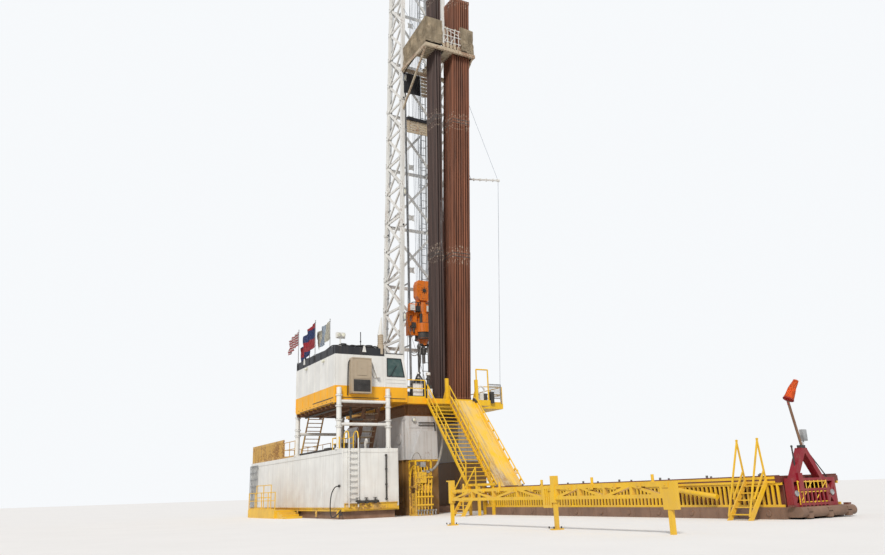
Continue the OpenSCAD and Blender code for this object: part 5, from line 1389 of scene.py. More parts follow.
class RIG_OT_floor_trim(bpy.types.Operator):
    """Makes the machines, boxes, tongs and screens that stand on the drill floor"""

    bl_idname = "rig.floor_trim"
    bl_label = "Drill floor trim"

    def execute(self, context):
        top = FLOOR_TOP
        near = low("floor_rails").y
        edge = high("floor_front").x
        dark = Shape()
        for y, h, w in ((-1.55, 0.52, 0.07), (-1.38, 0.66, 0.06), (-1.20, 0.44, 0.08), (-1.04, 0.74, 0.06)):
            dark.box((2.14, y - w, top), (2.34, y + w, top + h * 0.55))
            dark.rod((2.24, y, top + h * 0.5), (2.24, y, top + h), w * 0.8, 14)
            dark.rod((2.24, y, top + h * 0.8), (2.24, y, top + h * 0.86), w * 1.15, 14)
        dark.tube(smooth([(2.24, -1.5, top + 0.5), (2.3, -1.42, top + 0.72), (2.26, -1.28, top + 0.62),
                          (2.24, -1.2, top + 0.42)], 4), 0.022, 8)
        dark.box((1.68, 1.42, top), (1.84, 1.56, top + 0.36))
        dark.rod((1.75, 1.25, top), (1.75, 1.25, top + 0.3), 0.09, 16)
        for y in (-1.2, 1.2):
            dark.box((-0.7, y - 0.16, top), (-0.1, y + 0.16, top + 0.34))
            dark.rod((-0.4, y - 0.1, top + 0.34), (-0.4, y + 0.1, top + 0.34), 0.12, 18)
        dark.done("floor_machines", "black_paint", look="dark_metal", smooth=True)

        pale = Shape()
        pale.box((2.34, -1.62, top + 0.08), (2.37, -1.30, top + 0.44))
        pale.box((2.10, -1.14, top), (2.36, -0.97, top + 0.30))
        pale.rod((2.24, -1.38, top + 0.62), (2.24, -1.38, top + 0.80), 0.05, 14, 0.03)
        pale.rod((2.24, -1.04, top + 0.72), (2.24, -1.04, top + 0.80), 0.07, 14)
        pale.ring((1.80, 1.09, top + 0.40), (1, 0, 0), 0.12, 0.028, 24)
        pale.box((1.70, 1.02, top), (1.84, 1.16, top + 0.28))
        pale.box((0.9, -1.75, top), (1.06, -1.35, top + 0.62))
        pale.box((0.88, -1.77, top + 0.60), (1.08, -1.33, top + 0.64))
        for z in (0.12, 0.30, 0.46):
            pale.box((1.06, -1.70, top + z), (1.068, -1.40, top + z + 0.02))
        pale.done("floor_cabinets", "white_paint", look="mast_white", smooth=True)

        screen = Shape()
        post = 1.76
        for y in spread(1.40, 1.87, 13):
            screen.rod((post, y, top + 0.18), (post, y, top + 0.59), 0.005, 6)
        for z in spread(top + 0.18, top + 0.59, 11):
            screen.rod((post, 1.40, z), (post, 1.87, z), 0.005, 6)
        for a, b in (((1.40, 0.16), (1.87, 0.16)), ((1.40, 0.61), (1.87, 0.61)), ((1.40, 0.16), (1.40, 0.61)),
                     ((1.87, 0.0), (1.87, 0.61))):
            screen.rod((post, a[0], top + a[1]), (post, b[0], top + b[1]), 0.014, 8)
        screen.done("floor_screen", "bare_steel", look="galvanised")

        gate = Shape()
        for y in (0.55, 0.97):
            gate.rod((edge - 0.05, y, top), (edge - 0.05, y, top + 0.95), 0.022, 10)
        gate.rod((edge - 0.05, 0.55, top + 0.95), (edge - 0.05, 0.97, top + 0.95), 0.022, 10)
        for y in (-0.52, 0.52):
            gate.box((edge - 0.06, y - 0.05, top), (edge, y + 0.05, top + 0.62))
            gate.plate([(edge - 0.06, y, top), (edge - 0.30, y, top), (edge - 0.06, y, top + 0.45)],
                (0, 0.015, 0))
        for y in spread(near + 0.2, -0.95, 4):
            gate.plate([(edge - 0.002, y, top - 0.16), (edge - 0.002, y, top - 0.02),
                (edge - 0.002, y + 0.06, top - 0.02)],
                             (0.004, 0, 0))
        gate.done("floor_gate", "yellow_paint")

        tongs = Shape()
        grip = top + 0.55
        for y in (-0.30, 0.32):
            hang = Vector((0.95, y * 1.6, grip))
            tongs.beam(hang, (0.30, y * 1.3, grip), 0.07, 0.05)
            tongs.ring((0.22, y, grip), (0, 0, 1), 0.09, 0.03, 16)
            tongs.box(hang + Vector((-0.06, -0.05, -0.05)), hang + Vector((0.06, 0.05, 0.05)))
            hook = hang + Vector((0, 0, 0.3))
            tongs.rod(hang, hook, 0.01, 8)
            tongs.rod(hook, leg(1 if y > 0 else -1, True, top + 3.2) + Vector((0, -0.06 * y, 0)), 0.006, 6)
        tongs.rod((0, 0, top - 0.02), (0, 0, top + 0.06), 0.14, 28)
        tongs.bolts((0, 0, top), (0, 0, 1), 0.30, 16, 0.014, 0.02)
        tongs.rod((0, 0, top - 0.3), (0, 0, low("elevator_links").z + 0.30), 0.042, 20)
        tongs.rod((0, 0, top + 0.06), (0, 0, top + 0.16), 0.075, 20)
        tongs.done("floor_tongs", "bare_steel", smooth=True)

        plates = Shape()
        for x in spread(-2.0, 2.2, 8):
            plates.box((x - 0.006, near + 0.04, top - 0.001), (x + 0.006, -0.42, top + 0.004))
        for y in (-1.5, -1.1, -0.75):
            plates.box((-2.2, y - 0.006, top - 0.001), (2.4, y + 0.006, top + 0.004))
        for y in spread(-0.72, 0.72, 12):
            plates.box((0.62, y - 0.008, top), (2.42, y + 0.008, top + 0.006))
        for x in spread(1.22, 2.02, 9):
            plates.box((x - 0.03, -0.62, top), (x + 0.03, 0.74, top + 0.012))
        plates.done("floor_plates", "brown_paint")
        return {"FINISHED"}


class RIG_OT_drawworks_trim(bpy.types.Operator):
    """Makes the drum, louvres, lifting eyes and motors of the drawworks"""

    bl_idname = "rig.drawworks_trim"
    bl_label = "Drawworks trim"

    def execute(self, context):
        lo, hi = low("drawworks"), high("drawworks")
        drum = Shape()
        x, z = hi.x - 0.04, (lo.z + hi.z) / 2 + 0.05
        drum.rod((x, -0.52, z), (x, 0.52, z), 0.15, 28)
        for y in (-0.54, 0.54):
            drum.rod((x, y - 0.02, z), (x, y + 0.02, z), 0.26, 32)
            drum.bolts((x, y, z), (0, math.copysign(1, y), 0), 0.2, 10, 0.014, 0.035)
        for y in spread(-0.48, 0.48, 40):
            drum.ring((x, y, z), (0, 1, 0), 0.155, 0.010, 24)
        drum.done("drawworks_drum", "bare_steel", smooth=True)
        panels = Shape()
        for y in (-0.85, 0.0, 0.85):
            panels.box((lo.x - 0.012, y - 0.30, lo.z + 0.12), (lo.x + 0.002, y + 0.30, hi.z - 0.12))
            for level in spread(lo.z + 0.2, hi.z - 0.2, 9):
                panels.box((lo.x - 0.022, y - 0.22, level - 0.01), (lo.x - 0.010, y + 0.22, level + 0.01))
            panels.box((lo.x + 0.12, y - 0.28, hi.z - 0.002), (hi.x - 0.12, y + 0.28, hi.z + 0.014))
        for y in (lo.y + 0.12, hi.y - 0.12):
            for x_eye in (lo.x + 0.12, hi.x - 0.12):
                panels.ring((x_eye, y, hi.z + 0.035), (0, 1, 0), 0.035, 0.011, 16)
            panels.box((lo.x + 0.1, y - 0.02, lo.z), (hi.x - 0.1, y + 0.02, lo.z + 0.05))
        panels.done("drawworks_panels", "white_paint")
        motors = Shape()
        for y in (-0.75, 0.75):
            motors.rod((lo.x + 0.3, y - 0.26, hi.z + 0.17), (lo.x + 0.3, y + 0.26, hi.z + 0.17), 0.16, 24)
            for turn in spread(y - 0.22, y + 0.22, 9):
                motors.ring((lo.x + 0.3, turn, hi.z + 0.17), (0, 1, 0), 0.16, 0.010, 24)
            motors.box((lo.x + 0.2, y - 0.2, hi.z), (lo.x + 0.4, y + 0.2, hi.z + 0.05))
            motors.box((lo.x + 0.22, y - 0.08, hi.z + 0.3), (lo.x + 0.38, y + 0.08, hi.z + 0.40))
        motors.done("drawworks_motors", "white_paint", look="galvanised", smooth=True)
        return {"FINISHED"}


class RIG_OT_ramp_trim(bpy.types.Operator):
    """Makes the ribs, lips and lugs of the ramp and the brackets of its stair"""

    bl_idname = "rig.ramp_trim"
    bl_label = "Ramp trim"

    def execute(self, context):
        a, b = Vector((2.475, 0, 3.26)), Vector((4.76, 0, 0.67))
        half = high("ramp").y
        along = (b - a).normalized()
        up = Vector((-along.z, 0, along.x))
        ribs = Shape()
        for share in spread(0.06, 0.94, 9):
            at = a.lerp(b, share)
            for side in (-1, 1):
                ribs.beam(at + Vector((0, side * (half - 0.01), 0)) - up * 0.10,
                          at + Vector((0, side * (half - 0.01), 0)) + up * 0.11, 0.03, 0.045)
            ribs.beam(at + Vector((0, -half + 0.03, 0)) - up * 0.09,
                at + Vector((0, half - 0.03, 0)) - up * 0.09, 0.05)
        for side in (-1, 1):
            lip = Vector((0, side * (half - 0.012), 0))
            ribs.tube([a + lip + up * 0.12, b + lip + up * 0.12], 0.018, 8)
            ribs.ring(b + Vector((-0.25, side * half, 0.42)), (0, 1, 0), 0.05, 0.013, 16)
        ribs.done("ramp_ribs", "yellow_paint")
        hooks = Shape()
        for y in (-0.40, 0.40):
            hooks.beam(a + Vector((-0.02, y, 0.08)), a + Vector((0.16, y, -0.06)), 0.05, 0.06)
            hooks.rod(a + Vector((0.02, y - 0.05, 0.02)), a + Vector((0.02, y + 0.05, 0.02)), 0.03, 12)
            hooks.beam(b + Vector((-0.02, y, 0.03)), b + Vector((0.10, y, 0.0)), 0.05, 0.03)
        hooks.done("ramp_hooks", "bare_steel", look="dark_metal")
        return {"FINISHED"}


class RIG_OT_mast_trim(bpy.types.Operator):
    """Makes the gussets, pins, lamps, boards, a black panel of painted shade, standpipe and cables of the mast"""

    bl_idname = "rig.mast_trim"
    bl_label = "Mast trim"

    def execute(self, context):
        sizes = context.scene.rig_sizes
        half = sizes.gusset / 2
        thick = sizes.plate
        gussets = Shape()
        bolts = Shape()
        for z in spread(FLOOR_TOP + 0.2, MAST_TOP - 0.14, 21):
            for side in (-1, 1):
                for front in (True, False):
                    at = leg(side, front, z)
                    turn = -1 if front else 1
                    y = at.y + side * 0.063
                    gussets.plate([
                        (at.x - turn * 0.05, y, z - half), (at.x + turn * half * 0.7, y, z - half * 0.9),
                        (at.x + turn * half * 1.5, y, z - half * 0.25),
                        (at.x + turn * half * 1.5, y, z + half * 0.25),
                        (at.x + turn * half * 0.7, y, z + half * 0.9), (at.x - turn * 0.05, y, z + half)],
                        (0, side * thick, 0))
                    for dz in (-0.06, 0.06):
                        bolts.rod((at.x, y + side * thick, z + dz),
                            (at.x, y + side * (thick + 0.012), z + dz), 0.012, 6)
        rear_low, rear_high = low("mast_rear").z, high("mast_rear").z
        bay = (rear_high - rear_low) / 10
        for i in range(10):
            z = rear_low + bay * (i + 0.5)
            at = leg(1, False, z)
            star = [Vector((at.x - 0.045, 0, z)) + Vector((0, math.cos(t), math.sin(t))) * r
                    for t, r in ((math.pi * k / 4, 0.17 if k % 2 else 0.09) for k in range(8))]
            gussets.plate(star, (-thick, 0, 0))
            for side in (-1, 1):
                for level in (rear_low + bay * i, rear_low + bay * (i + 1) - 0.02):
                    corner = leg(side, False, level)
                    x, inner = corner.x - 0.064, corner.y - side * half * 1.6
                    gussets.plate([
                        (x, corner.y, level - half), (x, inner, level - 0.03), (x, inner, level + 0.03),
                        (x, corner.y, level + half)], (-thick, 0, 0))
        for level in (9.4, 14.2, 19.6):
            for side in (-1, 1):
                for front in (True, False):
                    at = leg(side, front, level)
                    gussets.box(at - Vector((0.085, 0.085, 0.05)), at + Vector((0.085, 0.085, 0.05)))
                    bolts.rod(at + Vector((-0.12, 0, 0)), at + Vector((0.12, 0, 0)), 0.028, 12)
        gussets.done("mast_gussets", "white_paint", look="mast_white")
        bolts.done("mast_bolts", "bare_steel", look="dark_metal")

        lamps = Shape()
        lens = Shape()
        for level in (6.2, 10.6, 15.0, 19.2, 23.0):
            for side in (-1, 1):
                at = leg(side, True, level) + Vector((0.085, -side * 0.05, 0))
                lamps.box(at + Vector((-0.03, -0.05, -0.13)), at + Vector((0.04, 0.05, 0.13)))
                lamps.beam(at + Vector((-0.06, 0, 0.10)), at + Vector((0.05, 0, 0.16)), 0.02)
                lens.dome(at + Vector((0.04, 0, 0)), 0.05, (0.25, 0.8, 2.0))
        lamps.done("mast_lamps", "white_paint", look="galvanised")
        lens.done("mast_lamp_lenses", "white_paint", look="lamp_glass", smooth=True)

        # Painted shade: a black panel and bar under the racking board, a dark sheet where the inside of the mast lies
        # in shade
        dark = Shape()
        x = leg(1, True, 14.8).x + 0.07
        dark.box((x, -0.90, 14.42), (x + 0.03, -0.25, 15.22))
        dark.box((x - 0.02, -0.81, 13.35), (x + 0.07, 0.05, 13.46))
        for y in spread(-0.84, -0.31, 6):
            dark.box((x + 0.03, y - 0.012, 14.42), (x + 0.045, y + 0.012, 15.22))
        dark.done("mast_shade_panel", "black_paint")
        belly = Shape()
        for z in spread(12.92, 13.31, 5):
            belly.box((x - 0.01, -0.81, z - 0.038), (x + 0.02, 0.05, z + 0.038))
        for y in (-0.74, -0.38, -0.02):
            belly.box((x + 0.02, y - 0.025, 12.86), (x + 0.04, y + 0.025, 13.36))
        for z in spread(14.48, 15.16, 6):
            belly.box((x, -0.20, z - 0.05), (x + 0.025, 0.12, z + 0.05))
        belly.done("mast_belly_board", "tan_paint", look="board_paint")

        pipe = Shape()
        path = [leg(1, False, z) + Vector((0.12, -0.13, 0)) for z in (FLOOR_TOP, 6.0, 10.0, 14.2)]
        path += [leg(1, False, 14.5) + Vector((0.16, -0.16, 0.10)),
            leg(1, False, 14.6) + Vector((0.26, -0.20, 0.02)),
                 leg(1, False, 14.4) + Vector((0.30, -0.22, -0.1))]
        pipe.tube(smooth(path, 4), 0.034, 12)
        for z in spread(4.2, 13.6, 8):
            at = leg(1, False, z) + Vector((0.12, -0.13, 0))
            pipe.rod(at - Vector((0, 0, 0.03)), at + Vector((0, 0, 0.03)), 0.05, 12)
            pipe.beam(at, leg(1, False, z), 0.03)
        pipe.done("mast_standpipe", "bare_steel", smooth=True)

        cables = Shape()
        rng = random.Random(8)
        for k in range(4):
            path = [leg(-1, False, z) + Vector((0.10 + 0.03 * k, 0.02 + rng.uniform(-0.012, 0.012), 0))
                    for z in spread(FLOOR_TOP + 0.1, 22.5, 30)]
            cables.tube(path, 0.011, 6)
        for k in range(3):
            path = [leg(1, True, z) + Vector((-0.10 - 0.03 * k, rng.uniform(-0.012, 0.012), 0))
                    for z in spread(FLOOR_TOP + 0.1, 14.8, 20)]
            cables.tube(path, 0.010, 6)
        for z in spread(FLOOR_TOP + 0.6, 22.0, 18):
            at = leg(-1, False, z)
            cables.box(at + Vector((0.05, 0.0, -0.02)), at + Vector((0.21, 0.04, 0.02)))
        cables.tube([(-0.32, 0.12, 25.10), (-1.62, 0.16, 4.18)], 0.009, 6)
        cables.done("mast_cables", "bare_steel", look="galvanised")

        cage = Shape()
        cage_low, cage_high = 6.0, 23.6

        def on_hoop(z, turn):
            """The point of the cage at that height and turn round the ladder."""
            return Vector((leg(1, False, z).x - 0.05 - 0.26 * math.sin(turn), 0.525 + 0.16 * math.cos(turn),
                z))

        for z in spread(cage_low, cage_high, 23):
            cage.tube([on_hoop(z, t) for t in spread(0, math.pi, 9)], 0.009, 6)
        for t in (0.5, 1.57, 2.6):
            cage.beam(on_hoop(cage_low, t), on_hoop(cage_high, t), 0.02, 0.008)
        cage.done("mast_ladder_cage", "bare_steel", look="galvanised")
        return {"FINISHED"}


class RIG_OT_crown_trim(bpy.types.Operator):
    """Makes the sheave flanges, lamp, lightning rod and grating of the crown"""

    bl_idname = "rig.crown_trim"
    bl_label = "Crown trim"

    def execute(self, context):
        lo, hi = low("crown_frame"), high("crown_frame")
        sheaves = low("crown_sheaves"), high("crown_sheaves")
        centre = (sheaves[0] + sheaves[1]) / 2
        trim = Shape()
        trim.rod((centre.x, sheaves[0].y - 0.06, centre.z), (centre.x, sheaves[1].y + 0.06, centre.z), 0.05,
            18)
        for y in spread(sheaves[0].y, sheaves[1].y, 5):
            trim.ring((centre.x, y, centre.z), (0, 1, 0), 0.235, 0.014, 28)
            trim.bolts((centre.x, y - 0.012, centre.z), (0, 1, 0), 0.12, 8, 0.012, 0.03)
        for x in spread(lo.x + 0.08, hi.x - 0.08, 12):
            trim.box((x - 0.004, lo.y + 0.06, 25.42), (x + 0.004, sheaves[0].y - 0.10, 25.435))
            trim.box((x - 0.004, sheaves[1].y + 0.10, 25.42), (x + 0.004, hi.y - 0.06, 25.435))
        trim.done("crown_fittings", "bare_steel", smooth=True)
        lamp = Shape()
        for y in (lo.y + 0.10, hi.y - 0.10):
            lamp.rod((hi.x - 0.06, y, 25.42), (hi.x - 0.06, y, 25.60), 0.012, 8)
            lamp.dome((hi.x - 0.06, y, 25.62), 0.04)
        lamp.done("crown_lamps", "red_paint", smooth=True)
        return {"FINISHED"}


class RIG_OT_board_trim(bpy.types.Operator):
    """Makes the canvas windwalls of the racking board, their frame, handrails and planks"""

    bl_idname = "rig.board_trim"
    bl_label = "Racking board trim"

    def execute(self, context):
        lo, hi = low("windwalls"), high("windwalls")
        deck = BOARD_HIGH.z
        gap_near, gap_far = -0.28, 0.34
        bars = Shape()
        inner = 0.085
        posts = [(hi.x - inner, y) for y in (lo.y + inner, -0.62, gap_near - 0.01, gap_far + 0.10, 0.66,
            hi.y - inner)]
        posts += [(x, y) for x in spread(lo.x + 0.06, hi.x - 0.65, 3) for y in (lo.y + inner, hi.y - inner)]
        for x, y in posts:
            bars.rod((x, y, deck - 0.02), (x, y, hi.z - 0.05 if x > 1.6 else 16.05), 0.018, 8)
        for z in (deck + 0.45, deck + 0.92):
            bars.rod((hi.x - inner, lo.y + inner, z), (hi.x - inner, gap_near, z), 0.014, 8)
            bars.rod((hi.x - inner, gap_far + 0.10, z), (hi.x - inner, hi.y - inner, z), 0.014, 8)
            for y in (lo.y + inner, hi.y - inner):
                bars.rod((lo.x + 0.06, y, z - 0.2), (hi.x - inner, y, z), 0.014, 8)
        bars.done("windwall_frame", "board_paint")

        tall = hi.z - deck - 0.02
        folds = ((0.030, 0.52, 0.35), (0.016, 0.21, -0.6), (0.007, 0.10, 0.4))
        walls = (
            ("near", (hi.x - 0.01, lo.y + 0.022, hi.z - 0.01), (-1, 0, -0.16), 1.86),
            ("front_near", (hi.x - 0.022, lo.y + 0.01, hi.z - 0.02), (0, 1, 0.0), gap_near - lo.y - 0.01),
            ("front_far", (hi.x - 0.022, gap_far + 0.10, hi.z - 0.05), (0, 1, -0.08), hi.y - gap_far - 0.11),
            ("far", (lo.x + 0.03, hi.y - 0.022, hi.z - 0.34), (1, 0, 0.16), 1.86),
        )
        for k, (side, corner, along, length) in enumerate(walls):
            width = tall if side != "near" else tall + 0.04
            sheet = cloth(
                f"windwall_{side}", corner, along, (0, 0, -1), (width, length), folds, "canvas", "stretched",
                0.005, ragged=0.05, seed=70 + k)
            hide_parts("windwalls")

        rails = Shape()
        front = hi.x - 0.02
        for z in (deck + 0.25, deck + 0.50, deck + 0.78):
            rails.rod((front, gap_near, z), (front, gap_far + 0.08, z), 0.014, 8)
        for y in spread(gap_near + 0.02, gap_far, 5):
            rails.rod((front, y, deck), (front, y, deck + 0.80), 0.012, 8)
        rails.rod((front - 0.12, gap_near, deck + 0.9), (front - 0.02, gap_far, deck + 0.62), 0.016, 8)
        rails.tube(smooth([(front - 0.1, -0.24, deck + 0.05), (front - 0.02, -0.12, deck + 0.4),
                           (front - 0.08, 0.02, deck + 0.2), (front - 0.02, 0.2, deck + 0.55)], 4), 0.014, 6)
        rails.rod((hi.x - 0.05, -0.20, deck), (hi.x - 0.05, -0.20, deck + 2.1), 0.012, 8, 0.007)
        rails.done("board_handrails", "white_paint", look="mast_white")

        planks = Shape()
        for y, lean in ((-0.22, 0.06), (-0.02, -0.05), (0.14, 0.10)):
            planks.beam((front - 0.05, y, deck + 0.1), (front - 0.03, y + lean, deck + 0.86), 0.02, 0.05)
        for k, y in enumerate(spread(gap_near + 0.03, gap_far - 0.02, 5)):
            planks.box((front - 0.02, y - 0.055, deck + 0.02),
                (front + 0.012, y + 0.045, deck + 0.15 + 0.06 * (k % 2)))
        for x in spread(lo.x + 0.25, hi.x - 0.12, 9):
            planks.box((x - 0.07, -0.245, deck - 0.002), (x + 0.07, -0.07, deck + 0.012))
        planks.done("board_planks", "board_paint")

        chains = Shape()
        for side, y in ((-1, -0.56), (1, 0.90)):
            for x in spread(lo.x + 0.5, hi.x - 0.5, 5):
                chains.tube(smooth([(x, y, deck), (x, y - side * 0.08, deck + 0.1),
                    (x, y - side * 0.2, deck + 0.02)], 4),
                            0.008, 6)
        for y in (-0.93, 0.93):
            chains.rod((lo.x, y, 14.9), (leg(1, True, 18.0).x, math.copysign(0.86, y), 17.4), 0.009, 6)
            chains.rod((hi.x - 0.2, y, deck), (leg(1, True, 18.0).x, math.copysign(0.86, y), 18.0), 0.007, 6)
        chains.done("board_chains", "wire_rope")
        return {"FINISHED"}


class RIG_OT_pipe_trim(bpy.types.Operator):
    """Makes the hard bands and thread protectors of the racked pipe, and a pale line of painted highlight up the near
    bundle
    """

    bl_idname = "rig.pipe_trim"
    bl_label = "Racked pipe trim"

    def execute(self, context):
        near, far = low("pipe_stands_near"), low("pipe_stands_far")
        r = 0.04
        single = (high("pipe_stands_near").z - FLOOR_TOP) / 3
        lean = math.radians(2.4)
        rng = random.Random(12)
        for name, first, columns, side_lean, look in (
                ("near", near.y + r, 3, 0.0, "near_pipe"), ("far", far.y + r, 8, math.radians(1.0),
                "pipe_steel")):
            ahead = Vector((
                math.cos(side_lean) * math.sin(lean), math.sin(side_lean),
                math.cos(side_lean) * math.cos(lean)))
            bands = Shape()
            caps = Shape()
            for row in range(7):
                for column in range(columns):
                    foot = Vector((near.x + r + 0.1 * row, first + 0.088 * column, FLOOR_TOP + 0.001))
                    for k in (1, 2):
                        at = foot + ahead * (single * k + rng.uniform(-0.004, 0.004))
                        for step in (-0.07, 0.045):
                            bands.rod(at + ahead * step, at + ahead * (step + 0.028), r + 0.003, 14)
                        bands.rod(at - ahead * 0.006, at + ahead * 0.006, r + 0.0015, 14)
                    caps.rod(foot + ahead * (single * 3 - 0.10), foot + ahead * (single * 3 - 0.02),
                        r + 0.004, 14)
            bands.done(f"pipe_bands_{name}", "pipe_steel", look="dark_metal")
            caps.done(f"pipe_protectors_{name}", "pipe_steel", look=look)
        # Painted highlight: a pale dashed galvanised line up the near bundle, where a shiny pipe catches the light
        streak = Shape()
        ahead = Vector((math.sin(lean), 0, math.cos(lean)))
        foot = Vector((near.x + r + 0.6 + 0.055, near.y + 0.12, FLOOR_TOP + 1.6))
        path = [foot + ahead * (0.35 * k) + Vector((0, 0.016 * k * 0.35 + rng.uniform(-0.012, 0.012),
            0)) for k in range(26)]
        streak.tube(path, 0.010, 6)
        for at in path[::2]:
            streak.rod(at - ahead * 0.03, at + ahead * 0.03, 0.017, 8)
        streak.done("pipe_highlight_line", "wire_rope", look="galvanised")
        return {"FINISHED"}


class RIG_OT_hoist_trim(bpy.types.Operator):
    """Makes the bolts, motors, pipe handler, boxes and sheaves of the top drive and travelling block"""

    bl_idname = "rig.hoist_trim"
    bl_label = "Hoist trim"

    def execute(self, context):
        base = low("top_drive").z
        dark = Shape()
        for z in (base + 0.20, base + 0.43, base + 0.73):
            dark.ring((0, 0, z), (0, 0, 1), 0.285, 0.016, 32)
        dark.bolts((0, 0, base + 0.205), (0, 0, -1), 0.24, 12, 0.014, 0.02)
        dark.bolts((0, 0, base + 0.73), (0, 0, 1), 0.27, 16, 0.014, 0.025)
        for y in (-0.30, 0.30):
            dark.rod((0.16, y * 0.5, base + 0.74), (0.16, y * 0.5, base + 1.06), 0.055, 16)
            dark.box((0.12, y * 1.45 - 0.07, base + 0.56), (0.20, y * 1.45 + 0.07, base + 0.74))
            dark.rod((0.17, y * 1.45, base + 0.40), (0.17, y * 1.45, base + 0.56), 0.03, 12)
        for y in (-0.52, -0.30, 0.10):
            dark.box((0.13, y - 0.07, base + 1.12), (0.27, y + 0.09, base + 1.30))
            dark.tube(smooth([(0.2, y, base + 1.3), (0.2, y + 0.02, base + 1.42),
                (0.14, y * 0.5, base + 1.46),
                              (0.05, y * 0.3, base + 1.40)], 4), 0.016, 8)
        dark.box((-0.10, -0.16, base), (0.12, 0.16, base + 0.05))
        dark.rod((0, 0, base - 0.30), (0, 0, base - 0.12), 0.085, 20)
        dark.rod((0, 0, base + 0.23), (0, 0, base + 0.42), 0.282, 32)
        dark.done("top_drive_mechanism", "black_paint", HOIST, look="dark_metal", smooth=True)

        orange = Shape()
        for t in spread(0, 2 * math.pi * 15 / 16, 16):
            out = Vector((math.cos(t), math.sin(t), 0))
            orange.beam(out * 0.306 + Vector((0, 0, base + 0.46)), out * 0.306 + Vector((0, 0, base + 0.70)),
                0.018, 0.022)
            orange.beam(out * 0.222 + Vector((0, 0, base + 0.78)), out * 0.222 + Vector((0, 0, base + 1.08)),
                0.012, 0.018)
        for y in (-0.62, 0.62):
            edge = y - math.copysign(0.06, y)
            for z in spread(base + 0.36, base + 1.06, 6):
                orange.box((0.118, min(edge, y), z - 0.025), (0.132, max(edge, y), z + 0.025))
        for y in (-0.35, 0.35):
            orange.box((0.12, y - 0.05, base + 0.31), (0.15, y + 0.05, base + 1.11))
        for z in (base + 0.36, base + 0.70, base + 1.05):
            orange.rod((0.12, -0.05, z), (0.15, -0.05, z), 0.06, 16)
        orange.done("top_drive_ribs", "orange_paint", HOIST)

        boxes = Shape()
        for y in (-0.62, 0.0):
            boxes.box((0.258, y + 0.02, base + 1.14), (0.272, y + 0.20, base + 1.34))
            boxes.box((0.258, y + 0.05, base + 1.20), (0.280, y + 0.17, base + 1.28))
        boxes.box((-0.24, -0.44, base + 0.30), (-0.10, -0.36, base + 0.48))
        boxes.box((-0.14, -0.43, base + 0.34), (0.06, -0.38, base + 0.42))
        boxes.done("top_drive_boxes", "white_paint", HOIST, look="mast_white")

        handler = Shape()
        links = low("elevator_links")
        for side in (-1, 1):
            y = side * 0.19
            handler.ring((0, y, base - 0.04), (0, 1, 0), 0.07, 0.024, 20)
            handler.ring((0, y, links.z + 0.16), (0, 1, 0), 0.065, 0.022, 20)
            handler.rod((0.06, y * 0.7, base + 0.06), (0.07, y * 0.9, base - 0.62), 0.026, 12)
            handler.rod((0.07, y * 0.9, base - 0.62), (0.02, y, base - 0.95), 0.015, 10)
            handler.rod((-0.01, y, base - 0.98), (0.05, y, base - 0.92), 0.04, 12)
        for y in (-0.22, 0.22):
            handler.rod((0.085, y * 0.6, links.z + 0.02), (0.085, y * 0.6, links.z + 0.13), 0.03, 12)
            handler.tube(smooth([(0.10, y * 0.9, links.z + 0.05), (0.17, y, links.z + 0.08),
                (0.17, y * 0.5, links.z + 0.10),
                                 (0.10, y * 0.45, links.z + 0.09)], 4), 0.012, 8)
        handler.done("elevator_handles", "bare_steel", HOIST, smooth=True)

        block_low, block_high = low("travelling_block"), high("travelling_block")
        centre = (block_low + block_high) / 2
        block = Shape()
        for side in (-1, 1):
            face = side * (block_high.x - 0.005)
            block.rod((face, 0, centre.z), (face + side * 0.03, 0, centre.z), 0.07, 20)
            block.bolts((face, 0, centre.z), (side, 0, 0), 0.11, 8, 0.014, 0.02)
            block.bolts((side * 0.125, 0, centre.z), (side, 0, 0), 0.22, 10, 0.012, 0.03)
        for y in (-0.12, 0.12):
            block.rod((-0.06, y, block_low.z - 0.12), (0.06, y, block_low.z - 0.12), 0.035, 12)
            block.beam((0, y, block_low.z - 0.14), (0, y, block_low.z + 0.05), 0.05, 0.07)
        block.done("block_pins", "bare_steel", HOIST, look="dark_metal", smooth=True)
        sheaves = Shape()
        for x in spread(-0.075, 0.075, 4):
            sheaves.ring((x, 0, centre.z + 0.12), (1, 0, 0), 0.20, 0.013, 32)
        sheaves.done("block_sheaves", "bare_steel", HOIST, smooth=True)
        return {"FINISHED"}


class RIG_OT_drill_lines(bpy.types.Operator):
    """Makes the eight laid wire ropes between the crown and the travelling block"""

    bl_idname = "rig.drill_lines"
    bl_label = "Drilling lines"

    def execute(self, context):
        lo, hi = low("drill_lines"), high("drill_lines")
        r = 0.008
        ropes = Shape()
        lay, strands = 0.36, 6
        levels = spread(lo.z, hi.z, 240)
        for x in (lo.x + r, hi.x - r):
            for y in spread(lo.y + r, hi.y - r, 4):
                rings = []
                for z in levels:
                    twist = 2 * math.pi * (z - lo.z) / lay
                    rings.append([
                        ropes.mesh.verts.new((x + out * math.cos(t + twist), y + out * math.sin(t + twist),
                        z))
                        for t, out in ((math.pi * k / strands,
                        r * (0.78 if k % 2 else 1.0)) for k in range(2 * strands))])
                for a, b in zip(rings, rings[1:]):
                    for k in range(2 * strands):
                        after = (k + 1) % (2 * strands)
                        ropes.mesh.faces.new((a[k], a[after], b[after], b[k]))
                ropes.mesh.faces.new(rings[0][::-1])
                ropes.mesh.faces.new(rings[-1])
        piece = ropes.done("drilling_ropes", "wire_rope")
        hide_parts("drill_lines")
        travel = next(row for row in frame["record"]["behaviour"]["joints"] if row["name"] == LIFT)["range_m"][1]
        length = hi.z - lo.z
        (length - travel) / length
        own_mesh(piece)
        return {"FINISHED"}


